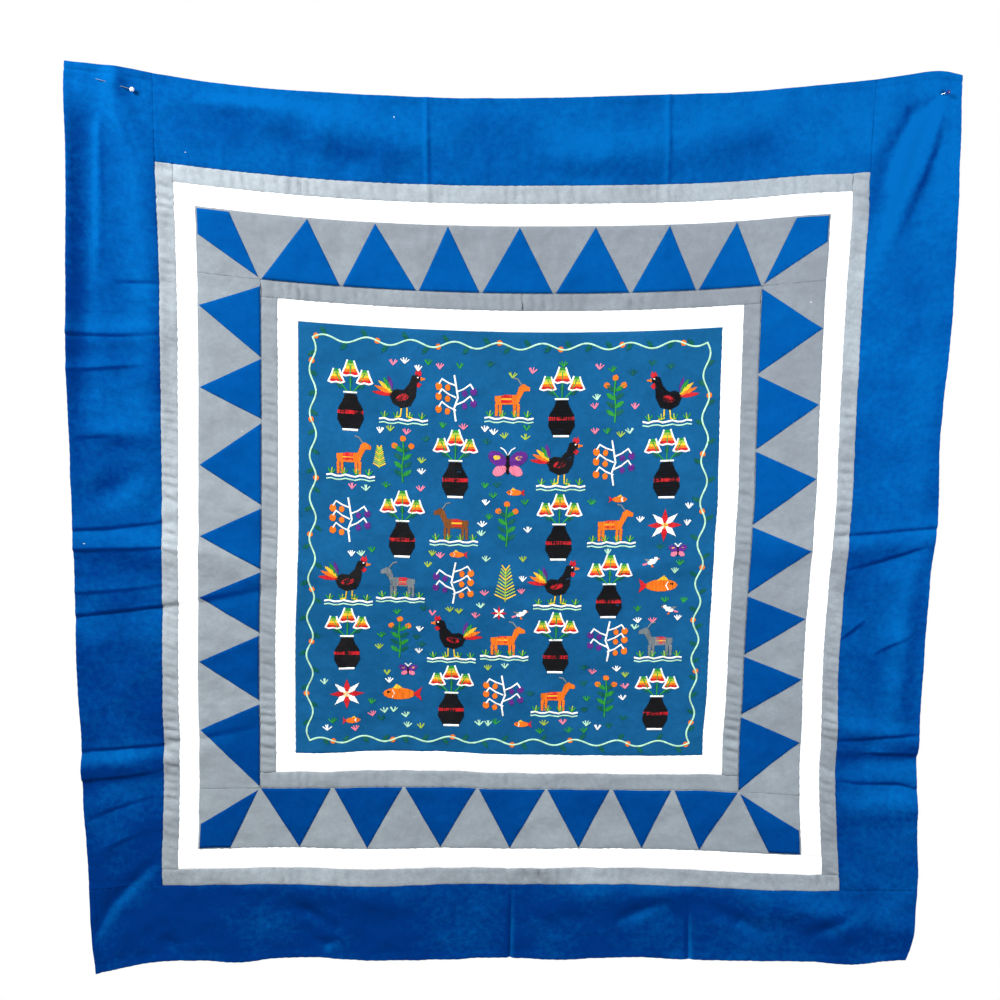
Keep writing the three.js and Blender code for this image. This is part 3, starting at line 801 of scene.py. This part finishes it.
@dataclass
class PiecedCloth:
    """The panel, its nested frames, the pieced triangles and the border."""

    maker: ClothMaker
    panel: FlatPoint = (218.0, 244.0)
    widths: tuple[float, ...] = (21.5, 17.5, 66.0, 21.5, 17.5, 88.0)
    names: tuple[str, ...] = ("inner_white", "inner_grey", "triangle_band", "outer_white", "outer_grey",
                              "blue_border")
    finishes: tuple[ClothFinish, ...] = (WHITE_COTTON, GREY_COTTON, GREY_COTTON, WHITE_COTTON,
                                         OUTER_GREY_COTTON, BLUE_COTTON)
    puckers: tuple[float, ...] = (0.25, 1.3, 0.05, 0.25, 1.3, 0.05)
    sides_on_top: tuple[str, ...] = ("outer_grey", "blue_border")
    join: float = 12.0
    # Places of the base ends and the points of the triangles along each side of the band.
    top_bases: Curve = (
        (-256, -175), (-172, -97), (-94, -32), (-29, 43), (46, 121), (124, 189), (192, 256))
    top_points: tuple[float, ...] = (-208, -139, -65, 8, 85, 160, 228)
    bottom_bases: Curve = (
        (-256, -181), (-177, -105), (-102, -27), (-24, 47), (50, 117), (121, 184), (188, 256))
    bottom_points: tuple[float, ...] = (-214, -142, -64, 10, 84, 152, 214)
    left_bases: Curve = (
        (276, 203), (201, 138), (133, 45), (41, -26), (-30, -101), (-105, -182), (-187, -281))
    left_points: tuple[float, ...] = (250, 165, 83, 6, -63, -138, -217)
    right_bases: Curve = (
        (280, 193), (190, 112), (109, 30), (27, -48), (-52, -121), (-124, -193), (-197, -281))
    right_points: tuple[float, ...] = (234, 154, 75, -3, -80, -150, -224)
    kite_reach: float = 33.0
    kite_drop: float = 25.74

    def build(self) -> None:
        inner = self.panel
        panel = Patch(-inner[0], inner[0], -inner[1], inner[1])
        self.declare(self.maker.strip("panel_cloth", panel, 0.05, "", PANEL_COTTON), ["centre_panel"],
                     [])
        for name, width, finish, pucker in zip(self.names, self.widths, self.finishes, self.puckers):
            outer = (inner[0] + width, inner[1] + width)
            self.frame(name, inner, outer, finish, pucker)
            inner = outer

    def frame(self, name: str, inner: FlatPoint, outer: FlatPoint, finish: ClothFinish,
              pucker: float) -> None:
        """Make the four strips of one frame, with the joined strips in two."""
        top_sides = name in self.sides_on_top
        side_top = outer[1] if top_sides else inner[1]
        reach = inner[0] if top_sides else outer[0]
        border = name == "blue_border"
        strips = {
            "left": Patch(-outer[0], -inner[0], -inner[1], side_top),
            "right": Patch(inner[0], outer[0], -inner[1], side_top),
            "top": Patch(-reach, reach, inner[1], outer[1]),
            "bottom": Patch(-outer[0], outer[0], -outer[1], -inner[1]),
        }
        hems = {"left": "ltB", "right": "rt", "top": "t", "bottom": "lrbT"}
        band = {"left": "TB", "right": "TB", "top": "B", "bottom": "T"}
        joined = {"blue_border": "bottom", "inner_grey": "top"}.get(name)
        for side, patch in strips.items():
            free = hems[side] if border else (band[side] if name == "triangle_band" else "")
            shown = inner[0] if side in ("top", "bottom") else 0.0
            halves = {side: (patch, free)}
            if side == joined:
                low, high = patch.bottom, patch.top
                halves = {
                    f"{side}_a": (Patch(patch.left, self.join, low, high), free.replace("r", "")),
                    f"{side}_b": (Patch(self.join, patch.right, low, high), free.replace("l", "")),
                }
            for part, (half, half_free) in halves.items():
                if part == "bottom_b":
                    half_free = half_free.replace("T", "")
                piece = self.maker.strip(f"{name}_{part}_cloth", half, pucker, half_free, finish, shown)
                extras = []
                if name == "triangle_band":
                    extras = [self.triangles(side, inner, outer)]
                self.declare(piece, [f"{name}_{part}"], extras)

    def declare(self, piece: bpy.types.Object, nodes: Sequence[str],
                extras: list[bpy.types.Object]) -> None:
        """Attach a sheet and what is sewn to it to the root body, and hide the solids that it stands for."""
        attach(piece, "root")
        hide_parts(*nodes)
        for extra in extras:
            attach(extra, "root")

    def triangles(self, side: str, inner: FlatPoint, outer: FlatPoint) -> bpy.types.Object:
        """Piece the triangles of one side, and the corner kites with the top and bottom rows."""
        x0, y0, x1, y1 = inner[0] + 0.3, inner[1] + 0.3, outer[0] - 1.2, outer[1] - 1.2
        shapes: list[list[FlatPoint]] = []
        if side == "top":
            shapes = [[(a, y0), (b, y0), (p, y1)] for (a, b), p in zip(self.top_bases, self.top_points)]
            shapes += [self.kite(-1, 1, inner, outer), self.kite(1, 1, inner, outer)]
        elif side == "bottom":
            shapes = [[(b, -y0), (a, -y0), (p, -y1)]
                      for (a, b), p in zip(self.bottom_bases, self.bottom_points)]
            shapes += [self.kite(-1, -1, inner, outer), self.kite(1, -1, inner, outer)]
        elif side == "left":
            shapes = [[(-x0, b), (-x0, a), (-x1, p)] for (a, b), p in zip(self.left_bases, self.left_points)]
        else:
            shapes = [[(x0, a), (x0, b), (x1, p)] for (a, b), p in zip(self.right_bases, self.right_points)]
        return self.maker.applique(f"triangle_band_{side}_patches", shapes, TRIANGLE_COTTON)

    def kite(self, sx: int, sy: int, inner: FlatPoint, outer: FlatPoint) -> list[FlatPoint]:
        """Return the corner kite between an outer and an inner corner of the band."""
        x, y = outer[0] - 1.6, outer[1] - 1.6
        corners = [(sx * x, sy * y), (sx * (x - self.kite_reach), sy * y),
                   (sx * (inner[0] + 2), sy * (inner[1] + 2)), (sx * x, sy * (y - self.kite_drop))]
        return corners if sx * sy > 0 else corners[::-1]


@dataclass
class Stitcher:
    """Lays embroidery stitches on the hung cloth, one piece for each thread."""

    surface: HungSurface
    lift: float = 0.62
    stitches: dict[Thread, list[tuple[float, float, float, float, float]]] = field(default_factory=dict)

    def __post_init__(self) -> None:
        """Start the seeded draw."""
        self.draw = random.Random(SEED)

    def stitch(self, thread: Thread, a: FlatPoint, b: FlatPoint, width: float) -> None:
        """Add one stitch."""
        self.stitches.setdefault(thread, []).append((*a, *b, width))

    def line(self, thread: Thread, points: Sequence[FlatPoint], width: float = 1.5,
             length: float = 3.6) -> None:
        """Sew a line of stem stitches along some points."""
        for (x0, y0), (x1, y1) in zip(points[:-1], points[1:]):
            count = max(1, round(math.hypot(x1 - x0, y1 - y0) / length))
            for k in range(count):
                s, t = k / count, (k + 1.15) / count
                self.stitch(thread, (x0 + (x1 - x0) * s, y0 + (y1 - y0) * s),
                            (x0 + (x1 - x0) * t, y0 + (y1 - y0) * t), width)

    def fill(self, thread: Thread, points: Sequence[FlatPoint], angle: float = 0.0,
             gap: float = 0.95) -> None:
        """Fill a shape with satin stitch.

        Args:
            thread: Thread used.
            points: Outline of the shape.
            angle: Direction of the stitches, in degrees.
            gap: Distance between rows, in millimetres.
        """
        c, s = math.cos(math.radians(angle)), math.sin(math.radians(angle))
        turned = [(x * c + y * s, -x * s + y * c) for x, y in points]
        row = min(y for _, y in turned) + gap / 2
        top = max(y for _, y in turned)
        while row < top:
            cuts = sorted(x0 + (row - y0) * (x1 - x0) / (y1 - y0)
                          for (x0, y0), (x1, y1) in zip(turned, (*turned[1:], turned[0]))
                          if (y0 > row) != (y1 > row))
            for low, high in zip(cuts[::2], cuts[1::2]):
                count = max(1, math.ceil((high - low) / 11))
                for k in range(count):
                    a = low + (high - low) * k / count + self.draw.uniform(-0.25, 0.25)
                    b = low + (high - low) * (k + 1) / count + self.draw.uniform(-0.25, 0.25)
                    y = row + self.draw.uniform(-0.12, 0.12)
                    self.stitch(thread, (a * c - y * s, a * s + y * c), (b * c - y * s, b * s + y * c),
                                gap * 1.12)
            row += gap

    def thread_mesh(self, count: int) -> bpy.types.Mesh:
        """Return that many six-sided unit threads in one mesh."""
        form = bmesh.new()
        bmesh.ops.create_cone(form, cap_ends=True, segments=6, radius1=0.5, radius2=0.5, depth=1.0)
        single = bpy.data.meshes.new("thread")
        form.to_mesh(single)
        form.free()
        whole = bmesh.new()
        batch = single
        left = count
        while left:
            if left & 1:
                whole.from_mesh(batch)
            left >>= 1
            if left:
                double = bmesh.new()
                double.from_mesh(batch)
                double.from_mesh(batch)
                batch = batch.copy()
                double.to_mesh(batch)
                double.free()
        mesh = bpy.data.meshes.new("threads")
        whole.to_mesh(mesh)
        whole.free()
        return mesh

    def sew(self) -> None:
        """Turn the stitches of each thread into a piece."""
        for thread, rows in self.stitches.items():
            data = np.array(rows)
            name = f"stitching_{thread.name.lower()}"
            mesh = self.thread_mesh(len(data))
            mesh.name = name
            unit = np.empty(len(mesh.vertices) * 3, dtype=np.float32)
            mesh.vertices.foreach_get("co", unit)
            unit = unit.reshape(len(data), -1, 3).astype(float)
            start = self.surface.hang(data[:, 0], data[:, 1], self.lift)[:, None, :]
            end = self.surface.hang(data[:, 2], data[:, 3], self.lift)[:, None, :]
            along = end - start
            length = np.linalg.norm(along, axis=-1, keepdims=True) + 1e-9
            side = np.cross(along / length, np.array([0.0, -1.0, 0.0]))
            out = np.cross(side, along / length)
            width = data[:, 4][:, None, None] * MM
            layer = (np.random.default_rng(SEED).uniform(0, 0.25, len(data)))[:, None, None] * MM
            places = ((start + end) / 2 + along * unit[..., 2:3] + side * unit[..., 0:1] * width
                      + out * (unit[..., 1:2] * width * 0.75 + layer))
            mesh.vertices.foreach_set("co", places.astype(np.float32).ravel())
            shade = np.repeat(np.random.default_rng(SEED + 1).uniform(0.78, 1.12, len(data)), unit.shape[1])
            mesh.attributes.new("shade", "FLOAT", "POINT").data.foreach_set("value", shade.astype(np.float32))
            piece = link(name, mesh)
            finish = ThreadFinish(f"thread_{thread.name.lower()}", thread.value)
            mesh.materials.append(finish_material(finish))
            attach(piece, "root")
            LOG.info("%s: %d stitches", name, len(data))


def ring(cx: float, cy: float, rx: float, ry: float, tilt: float = 0.0, count: int = 14) -> list[FlatPoint]:
    """Return points round an oval."""
    c, s = math.cos(math.radians(tilt)), math.sin(math.radians(tilt))
    turn = [2 * math.pi * k / count for k in range(count)]
    return [(cx + rx * math.cos(t) * c - ry * math.sin(t) * s,
             cy + rx * math.cos(t) * s + ry * math.sin(t) * c) for t in turn]


def leaf(x: float, y: float, length: float, width: float, tilt: float) -> list[FlatPoint]:
    """Return the outline of a pointed leaf that starts at a point."""
    c, s = math.cos(math.radians(tilt)), math.sin(math.radians(tilt))
    half = [(length * t, width / 2 * math.sin(math.pi * t) ** 0.8) for t in (0, 0.15, 0.35, 0.6, 0.85, 1)]
    outline = half + [(a, -b) for a, b in half[-2:0:-1]]
    return [(x + a * c - b * s, y + a * s + b * c) for a, b in outline]


@dataclass
class Garden:
    """A made-up garden of pots, bells, birds and vines for the centre panel."""

    stitcher: Stitcher
    across: float = 203.0
    up: float = 229.0
    bands: tuple[Thread, ...] = (Thread.GREEN, Thread.LIME, Thread.YELLOW, Thread.ORANGE, Thread.RED)
    mirror: int = 1
    scale: float = 1.0
    x: float = 0.0
    y: float = 0.0
    hide: Thread = Thread.BROWN
    hides: tuple[Thread, ...] = (Thread.BROWN, Thread.DEEP_GREEN, Thread.GREY, Thread.ORANGE)
    rows: tuple[str, ...] = ("prbgpsr", "gspurbp", "bpgspga", "rgbfrpi", "psrgpbg", "aipbgsp")
    first_place: FlatPoint = (-164.0, 171.0)
    spacing: FlatPoint = (54.7, 69.0)
    small_tries: int = 400
    tuft_tries: int = 1500
    taken: list[tuple[float, float, float, float]] = field(default_factory=list)

    def at(self, points: Sequence[FlatPoint]) -> list[FlatPoint]:
        """Move points of a motif to its place."""
        return [(self.x + self.mirror * self.scale * a, self.y + self.scale * b) for a, b in points]

    def fill(self, thread: Thread, points: Sequence[FlatPoint], angle: float = 0.0) -> None:
        """Fill a shape of the present motif."""
        self.stitcher.fill(thread, self.at(points), angle * self.mirror)

    def line(self, thread: Thread, points: Sequence[FlatPoint], width: float = 1.6) -> None:
        """Sew a line of the present motif."""
        self.stitcher.line(thread, self.at(points), width)

    def place(self, motif: Callable[[], None], x: float, y: float, mirror: int, scale: float,
              half: FlatPoint) -> None:
        """Work one motif at a place and mark the ground that it covers."""
        self.x, self.y, self.mirror, self.scale = x, y, mirror, scale
        self.taken.append((x, y, half[0] * scale, half[1] * scale))
        motif()

    def is_free(self, x: float, y: float, half_across: float, half_up: float) -> bool:
        """Return whether no motif covers a rectangle of the ground."""
        return not any(abs(x - a) < c + half_across and abs(y - b) < d + half_up for a, b, c, d in self.taken)

    def bell(self, cx: float = 0.0, cy: float = 0.0, size: float = 1.0) -> None:
        """Work a banded bell flower with a pale edge."""
        def half(t: float) -> float:
            """Return half the bell's width at a share of its height."""
            return (5.0 + 8.5 * t ** 1.3) * size

        for k, band in enumerate(self.bands):
            t0, t1 = k / 5, (k + 1) / 5
            y0, y1 = cy - 22 * size * t0, cy - 22 * size * t1
            shape = [(cx - half(t0), y0), (cx - half(t1), y1), (cx + half(t1), y1), (cx + half(t0), y0)]
            self.fill(band, shape, 90)
        edge = [(cx + side * half(t), cy - 22 * size * t) for side, t in
                ((-1, 0), (-1, 0.5), (-1, 1), (-0.5, 1.1), (0, 1.02), (0.5, 1.1), (1, 1), (1, 0.5), (1, 0))]
        self.line(Thread.WHITE, edge, 1.9)

    def pot(self) -> None:
        """Work a black pot with a red band and three bells over it."""
        body = [(-9, -34), (-14, -24), (-13, -12), (-8, -3), (-6, 4),
                (6, 4), (8, -3), (13, -12), (14, -24), (9, -34)]
        self.fill(Thread.BLACK, body, 4)
        self.fill(Thread.RED, [(-13.5, -14), (13.5, -14), (13.8, -18), (-13.8, -18)], 90)
        self.line(Thread.WHITE, [(-8, -35.5), (8, -35.5)], 2.4)
        self.line(Thread.WHITE, [(-7, 5.5), (7, 5.5)], 2.0)
        for bend, height in ((-15, 22), (0, 30), (15, 22)):
            self.line(Thread.GREEN, [(bend * 0.15, 5), (bend * 0.6, height * 0.6), (bend, height + 4)], 1.5)
            self.fill(Thread.DEEP_GREEN, leaf(bend * 0.5, height * 0.45, 9, 4, 90 - bend * 4), 90)
        self.bell(-15, 30, 0.62)
        self.bell(15, 30, 0.62)
        self.bell(0, 40, 0.7)

    def rooster(self) -> None:
        """Work a black rooster with a bright tail."""
        body = [(-15, 2), (-11, -8), (-2, -13), (8, -10), (13, 0), (14, 12),
                (18, 20), (15, 25), (9, 23), (6, 14), (0, 7), (-8, 8)]
        self.fill(Thread.BLACK, body, 30)
        self.fill(Thread.RED, [(12, 25), (14, 30), (16, 27), (18, 31), (19, 24), (16, 22)], 90)
        self.fill(Thread.ORANGE, [(18, 22), (24, 20), (18, 18)], 0)
        self.fill(Thread.RED, [(15, 17), (19, 14), (16, 10), (13, 13)], 90)
        for k, thread in enumerate((Thread.RED, Thread.ORANGE, Thread.YELLOW, Thread.GREEN, Thread.PURPLE)):
            self.fill(thread, leaf(-12, 1 + k * 1.2, 21 - k, 4.6, 172 - k * 17), 90)
        self.fill(Thread.RED, ring(-1, -1, 7, 3.6, 15), 60)
        for leg in ([(-2, -13), (-3, -22), (-8, -23)], [(4, -12), (4, -22), (9, -23)]):
            self.line(Thread.YELLOW, leg, 1.5)
        self.line(Thread.WHITE, [(14.4, 21.4), (15.8, 21.4)], 1.6)

    def butterfly(self) -> None:
        """Work a butterfly."""
        for side in (-1, 1):
            self.fill(Thread.PURPLE, ring(side * 9, 5, 9, 6, side * 35), 20)
            self.fill(Thread.PINK, ring(side * 7, -6, 6.5, 4.5, -side * 35), 70)
            self.fill(Thread.YELLOW, ring(side * 9.5, 6, 3, 2.2), 0)
            self.line(Thread.WHITE, [(0, 8), (side * 3, 13), (side * 6, 15)], 1.2)
        self.fill(Thread.BLACK, ring(0, 0, 2, 10), 0)

    def fish(self) -> None:
        """Work a fish."""
        self.fill(Thread.ORANGE, ring(0, 0, 14, 6), 90)
        self.fill(Thread.RED, [(-12, 0), (-20, 7), (-18, 0), (-20, -7)], 0)
        self.fill(Thread.YELLOW, [(-4, 5), (2, 10), (6, 5)], 90)
        self.line(Thread.WHITE, [(6, 4), (4, 0), (6, -4)], 1.4)
        self.fill(Thread.BLACK, ring(9, 1.5, 1.4, 1.4), 0)

    def star(self) -> None:
        """Work an eight-pointed star in two colours."""
        for k in range(8):
            t = math.radians(45 * k)
            r = math.radians(45 * k + 22.5)
            q = math.radians(45 * k - 22.5)
            petal = [(0, 0), (7 * math.cos(q), 7 * math.sin(q)), (15 * math.cos(t), 15 * math.sin(t)),
                     (7 * math.cos(r), 7 * math.sin(r))]
            self.fill(Thread.WHITE if k % 2 else Thread.RED, petal, 45 * k + 90)
        self.fill(Thread.YELLOW, ring(0, 0, 3, 3), 0)

    def bird(self) -> None:
        """Work a small bird."""
        self.fill(Thread.WHITE, ring(0, 0, 9, 5, 20), 20)
        self.fill(Thread.WHITE, ring(8, 6, 4, 3.6), 0)
        self.fill(Thread.GREY, leaf(-2, 1, 13, 5, 160), 70)
        self.fill(Thread.PINK, leaf(-8, -3, 11, 4, 200), 20)
        self.fill(Thread.ORANGE, [(11.5, 7.5), (16, 6), (11.5, 4.8)], 0)
        self.line(Thread.ORANGE, [(0, -5), (0, -10), (3, -10)], 1.2)

    def sprig(self) -> None:
        """Work a leafy sprig with orange buds."""
        self.line(Thread.GREEN, [(0, -24), (1, -8), (-1, 8), (0, 22)], 1.8)
        for k, y in enumerate((-17, -8, 1, 10)):
            self.fill(Thread.GREEN if k % 2 else Thread.DEEP_GREEN, leaf(0, y, 12, 5, 38), 90)
            self.fill(Thread.DEEP_GREEN if k % 2 else Thread.GREEN, leaf(0, y, 12, 5, 142), 90)
        for x, y in ((0, 25), (-9, 17), (9, 17)):
            self.fill(Thread.ORANGE, ring(x, y, 3.2, 3.2), 30)

    def fern(self) -> None:
        """Work a feathery fern in two yellow-greens."""
        self.line(Thread.LIME, [(0, -20), (0, 20)], 1.5)
        for k in range(10):
            y = -17 + k * 3.9
            reach = 11 - 0.8 * k
            thread = Thread.YELLOW if k % 3 == 0 else Thread.LIME
            self.line(thread, [(0, y), (reach, y + 6)], 1.5)
            self.line(thread, [(0, y), (-reach, y + 6)], 1.5)

    def berries(self) -> None:
        """Work a curling pale branch with purple and orange berries."""
        self.line(Thread.WHITE, [(0, -26), (2, -12), (-2, 0), (0, 12), (2, 24)], 2.0)
        for k, (side, y, rise) in enumerate(((1, -14, 9), (-1, -8, 10), (1, 0, 9), (-1, 6, 9), (1, 13, 7))):
            tip = [(0, y), (side * 8, y + rise * 0.4), (side * 15, y + rise), (side * 18, y + rise - 5)]
            self.line(Thread.WHITE, tip, 1.7)
            thread = Thread.PURPLE if k % 2 else Thread.ORANGE
            self.fill(thread, ring(side * 18.5, y + rise - 8, 3.4, 4.2), 0)
            self.fill(thread, ring(side * 9, y + rise * 0.4 - 5, 2.8, 3.4), 0)

    def goat(self) -> None:
        """Work a four-legged kid with a cloth on its back."""
        body = [(-15, 6), (-14, -3), (10, -3), (12, 4), (16, 12),
                (22, 12), (22, 16), (15, 20), (11, 17), (8, 8)]
        self.fill(self.hide, body, 90)
        for x in (-13, -9, 6, 10):
            self.fill(self.hide, [(x - 1.6, -2), (x - 1.2, -16), (x + 1.2, -16), (x + 1.6, -2)], 0)
        self.line(Thread.GREY, [(13, 19), (9, 25), (5, 26)], 1.6)
        self.fill(Thread.RED, [(-8, 7), (-8, -1), (3, -1), (3, 8)], 0)
        self.fill(Thread.YELLOW, [(-8, 2), (3, 2), (3, 4), (-8, 4)], 0)

    def ground(self) -> None:
        """Sew the white and green ground lines under an animal."""
        for thread, drop, height, width in ((Thread.WHITE, 0.0, 1.1, 2.1), (Thread.MINT, -4.0, 0.9, 1.5)):
            points = [(-25 + 5 * k, drop + height * math.sin(1.9 * k)) for k in range(11)]
            self.line(thread, points, width)
        for x in (-20, -7, 6, 19):
            blades = ((Thread.GREEN, (x - 3, 7)), (Thread.LIME, (x + 1, 8)), (Thread.GREEN, (x + 4, 6)))
            for thread, tip in blades:
                self.line(thread, [(x, 1), tip], 1.4)

    def vine(self) -> None:
        """Work the leafy vine that runs round the panel."""
        corners = [(-self.across, -self.up), (self.across, -self.up), (self.across, self.up),
                   (-self.across, self.up), (-self.across, -self.up)]
        for (x0, y0), (x1, y1) in zip(corners[:-1], corners[1:]):
            length = math.hypot(x1 - x0, y1 - y0)
            dx, dy = (x1 - x0) / length, (y1 - y0) / length
            count = round(length / 3.5)
            path = []
            for k in range(count + 1):
                s = length * k / count
                off = 3.4 * math.sin(2 * math.pi * s / (length / round(length / 44)))
                path.append((x0 + dx * s - dy * off, y0 + dy * s + dx * off))
            self.stitcher.line(Thread.MINT, path, 1.9)
            tilt = math.degrees(math.atan2(dy, dx))
            for k in range(4, count - 2, 6):
                side = 1 if (k // 6) % 2 else -1
                thread = (Thread.GREEN, Thread.DEEP_GREEN, Thread.LIME)[k % 3]
                self.stitcher.fill(thread, leaf(*path[k], 10, 4.6, tilt + side * 55), tilt)
                if (k // 6) % 3 == 0:
                    bud = path[min(k + 3, count)]
                    self.stitcher.fill(Thread.ORANGE, ring(*bud, 2.9, 2.9), 0)

    def scatter(self) -> None:
        """Sew loose tufts over the ground that is still open."""
        draw = self.stitcher.draw
        for _ in range(self.tuft_tries):
            x, y = draw.uniform(-190, 190), draw.uniform(-216, 212)
            if not self.is_free(x, y, 3.5, 3.5):
                continue
            self.taken.append((x, y, 4.5, 4.5))
            thread = draw.choice((Thread.MINT, Thread.GREEN, Thread.LIME, Thread.DEEP_GREEN, Thread.WHITE,
                                  Thread.PINK, Thread.GREEN))
            for turn in (50, 75, 105, 130):
                t = math.radians(turn + draw.uniform(-10, 10))
                tip = (x + 6.5 * math.cos(t), y - 3 + 6.5 * math.sin(t))
                self.stitcher.stitch(thread, (x, y - 3), tip, 1.3)

    def work(self) -> None:
        """Work the whole panel."""
        self.vine()
        # Each motif, half of the ground it covers, and how far it stands above its row.
        motifs: dict[str, tuple[Callable[[], None], FlatPoint, float]] = {
            "p": (self.pot, (27, 40), -3.0), "r": (self.rooster, (28, 28), 1.0),
            "b": (self.berries, (23, 27), 2.0), "g": (self.goat, (23, 24), -1.0),
            "s": (self.sprig, (14, 29), 0.0), "f": (self.fern, (12, 22), 0.0),
            "u": (self.butterfly, (17, 16), 0.0), "i": (self.fish, (21, 11), 0.0),
            "a": (self.star, (16, 16), 0.0), "d": (self.bird, (17, 12), 0.0),
        }
        for row, letters in enumerate(self.rows):
            for column, letter in enumerate(letters):
                motif, half, rise = motifs[letter]
                x = self.first_place[0] + self.spacing[0] * column
                y = self.first_place[1] - self.spacing[1] * row
                mirror = 1 if (column + row) % 2 else -1
                self.hide = self.hides[(column + 3 * row) % len(self.hides)]
                self.place(motif, x, y + rise, mirror, 1.2 if letter in "uai" else 0.98, half)
                if letter in "rg":
                    self.place(self.ground, x, y - (24 if letter == "r" else 19), mirror, 1.0, (26, 6))
        small = "adufi"
        for count in range(self.small_tries):
            extra, half, _ = motifs[small[count % len(small)]]
            x, y = self.stitcher.draw.uniform(-182, 182), self.stitcher.draw.uniform(-208, 206)
            if self.is_free(x, y, half[0] * 0.55, half[1] * 0.55):
                self.place(extra, x, y, 1 if count % 2 else -1, 0.55, half)
        self.scatter()


@dataclass
class Lint:
    """Stray threads that cling to the cloth."""

    stitcher: Stitcher
    places: Curve = ((-439, -12), (-263, 14), (-277, 122), (309, 262), (-330, 402), (-120, 455))

    def scatter(self) -> None:
        """Lay the stray threads."""
        for k, (x, y) in enumerate(self.places):
            self.stitcher.stitch(Thread.WHITE, (x, y), (x + 1.5 * math.cos(k), y + 1.5 * math.sin(k)), 0.6)


@dataclass
class Pins:
    """The two pins that hold the hanging."""

    finishes: dict[str, PinFinish] = field(default_factory=lambda: {
        "pin_left_shaft": PIN_STEEL,
        "pin_left_head": WHITE_GLAZE,
        "pin_right_shaft": PIN_STEEL,
        "pin_right_head": NAVY_GLAZE,
    })

    def dress(self) -> None:
        """Finish the pins' own solids."""
        for node, finish in self.finishes.items():
            piece = bpy.data.objects[node]
            piece.data.materials.clear()
            piece.data.materials.append(finish_material(finish))
            LOG.info("%s dressed", node)


@dataclass
class Studio:
    """Camera, lights and floor."""

    eye: tuple[float, float, float] = (-0.0174, -1.2234, -0.2968)
    yaw: float = 0.48
    pitch: float = -6.54
    roll: float = 1.03
    lens: float = 42.4
    floor_height: float = -2.2

    def build(self) -> None:
        """Set up the room."""
        self.camera()
        self.lamp("window", (-1.35, -1.15, 0.75), (-0.15, 0.0, -0.35), 0.7, 76.0, (1.0, 0.99, 0.97))
        self.lamp("side", (1.2, -0.9, -0.15), (0.3, 0.0, -0.5), 0.6, 20.0, (0.92, 0.96, 1.0))
        self.lamp("behind", (0.6, 2.2, 0.4), (0.0, 0.0, -0.5), 2.4, 22.0, (1.0, 1.0, 1.0))
        self.room_light()
        self.floor()

    def camera(self) -> None:
        """Place the camera where the hanging is seen from."""
        yaw, pitch, roll = (math.radians(a) for a in (self.yaw, self.pitch, self.roll))
        ahead = Vector((math.sin(yaw) * math.cos(pitch), math.cos(yaw) * math.cos(pitch), math.sin(pitch)))
        level = Vector((math.cos(yaw), -math.sin(yaw), 0))
        upright = level.cross(ahead)
        right = math.cos(roll) * level + math.sin(roll) * upright
        up = -math.sin(roll) * level + math.cos(roll) * upright
        data = bpy.data.cameras.new("camera")
        data.lens = self.lens
        data.sensor_width = 36.0
        camera = bpy.data.objects.new("camera", data)
        turn = Matrix((right, up, -ahead)).transposed().to_4x4()
        camera.matrix_world = Matrix.Translation(self.eye) @ turn
        bpy.context.scene.collection.objects.link(camera)
        bpy.context.scene.camera = camera

    def lamp(self, name: str, place: Sequence[float], aim: Sequence[float], size: float, power: float,
             colour: Sequence[float]) -> None:
        """Add one soft lamp."""
        data = bpy.data.lights.new(name, "AREA")
        data.size = size
        data.energy = power
        data.color = colour
        lamp = bpy.data.objects.new(name, data)
        lamp.location = place
        lamp.rotation_euler = (Vector(aim) - Vector(place)).to_track_quat("-Z", "Y").to_euler()
        bpy.context.scene.collection.objects.link(lamp)

    def room_light(self) -> None:
        """Fill the room softly behind a near-white backdrop."""
        world = bpy.data.worlds.new("room")
        world.use_nodes = True
        tree = world.node_tree
        seen = tree.nodes.new("ShaderNodeLightPath")
        glow = tree.nodes["Background"]
        glow.inputs["Color"].default_value = (1.0, 1.0, 1.0, 1.0)
        level = tree.nodes.new("ShaderNodeMix")
        level.inputs[2].default_value = 0.24
        level.inputs[3].default_value = 1.0
        tree.links.new(seen.outputs["Is Camera Ray"], level.inputs[0])
        tree.links.new(level.outputs[0], glow.inputs["Strength"])
        bpy.context.scene.world = world
        bpy.context.scene.view_settings.view_transform = "Standard"

    def floor(self) -> None:
        """Lay a pale floor well below the hem."""
        form = bmesh.new()
        place = Matrix.Translation((0, 0, self.floor_height))
        bmesh.ops.create_grid(form, x_segments=2, y_segments=2, size=1.6, matrix=place)
        mesh = bpy.data.meshes.new("floor")
        form.to_mesh(mesh)
        form.free()
        piece = link("floor", mesh)
        bench = NodeBench("pale_floor")
        spot = bench.signal("ShaderNodeTexCoord", {}, {}, "Object")
        grain = bench.noise(spot, 6.0)
        bench.feed(bench.shader.inputs["Base Color"], bench.tint((0.86, 0.85, 0.83), 0.96 + 0.06 * grain))
        bench.shader.inputs["Roughness"].default_value = 0.8
        mesh.materials.append(bench.material)


def main() -> None:
    """Build the hanging and its room."""
    logging.basicConfig(level=logging.INFO, format="%(message)s")
    surface = HungSurface()
    Studio().build()
    LOG.info("room ready")
    PiecedCloth(ClothMaker(surface)).build()
    LOG.info("cloth hung")
    stitcher = Stitcher(surface)
    Garden(stitcher).work()
    Lint(stitcher).scatter()
    stitcher.sew()
    Pins().dress()


if __name__ == "__main__":
    main()
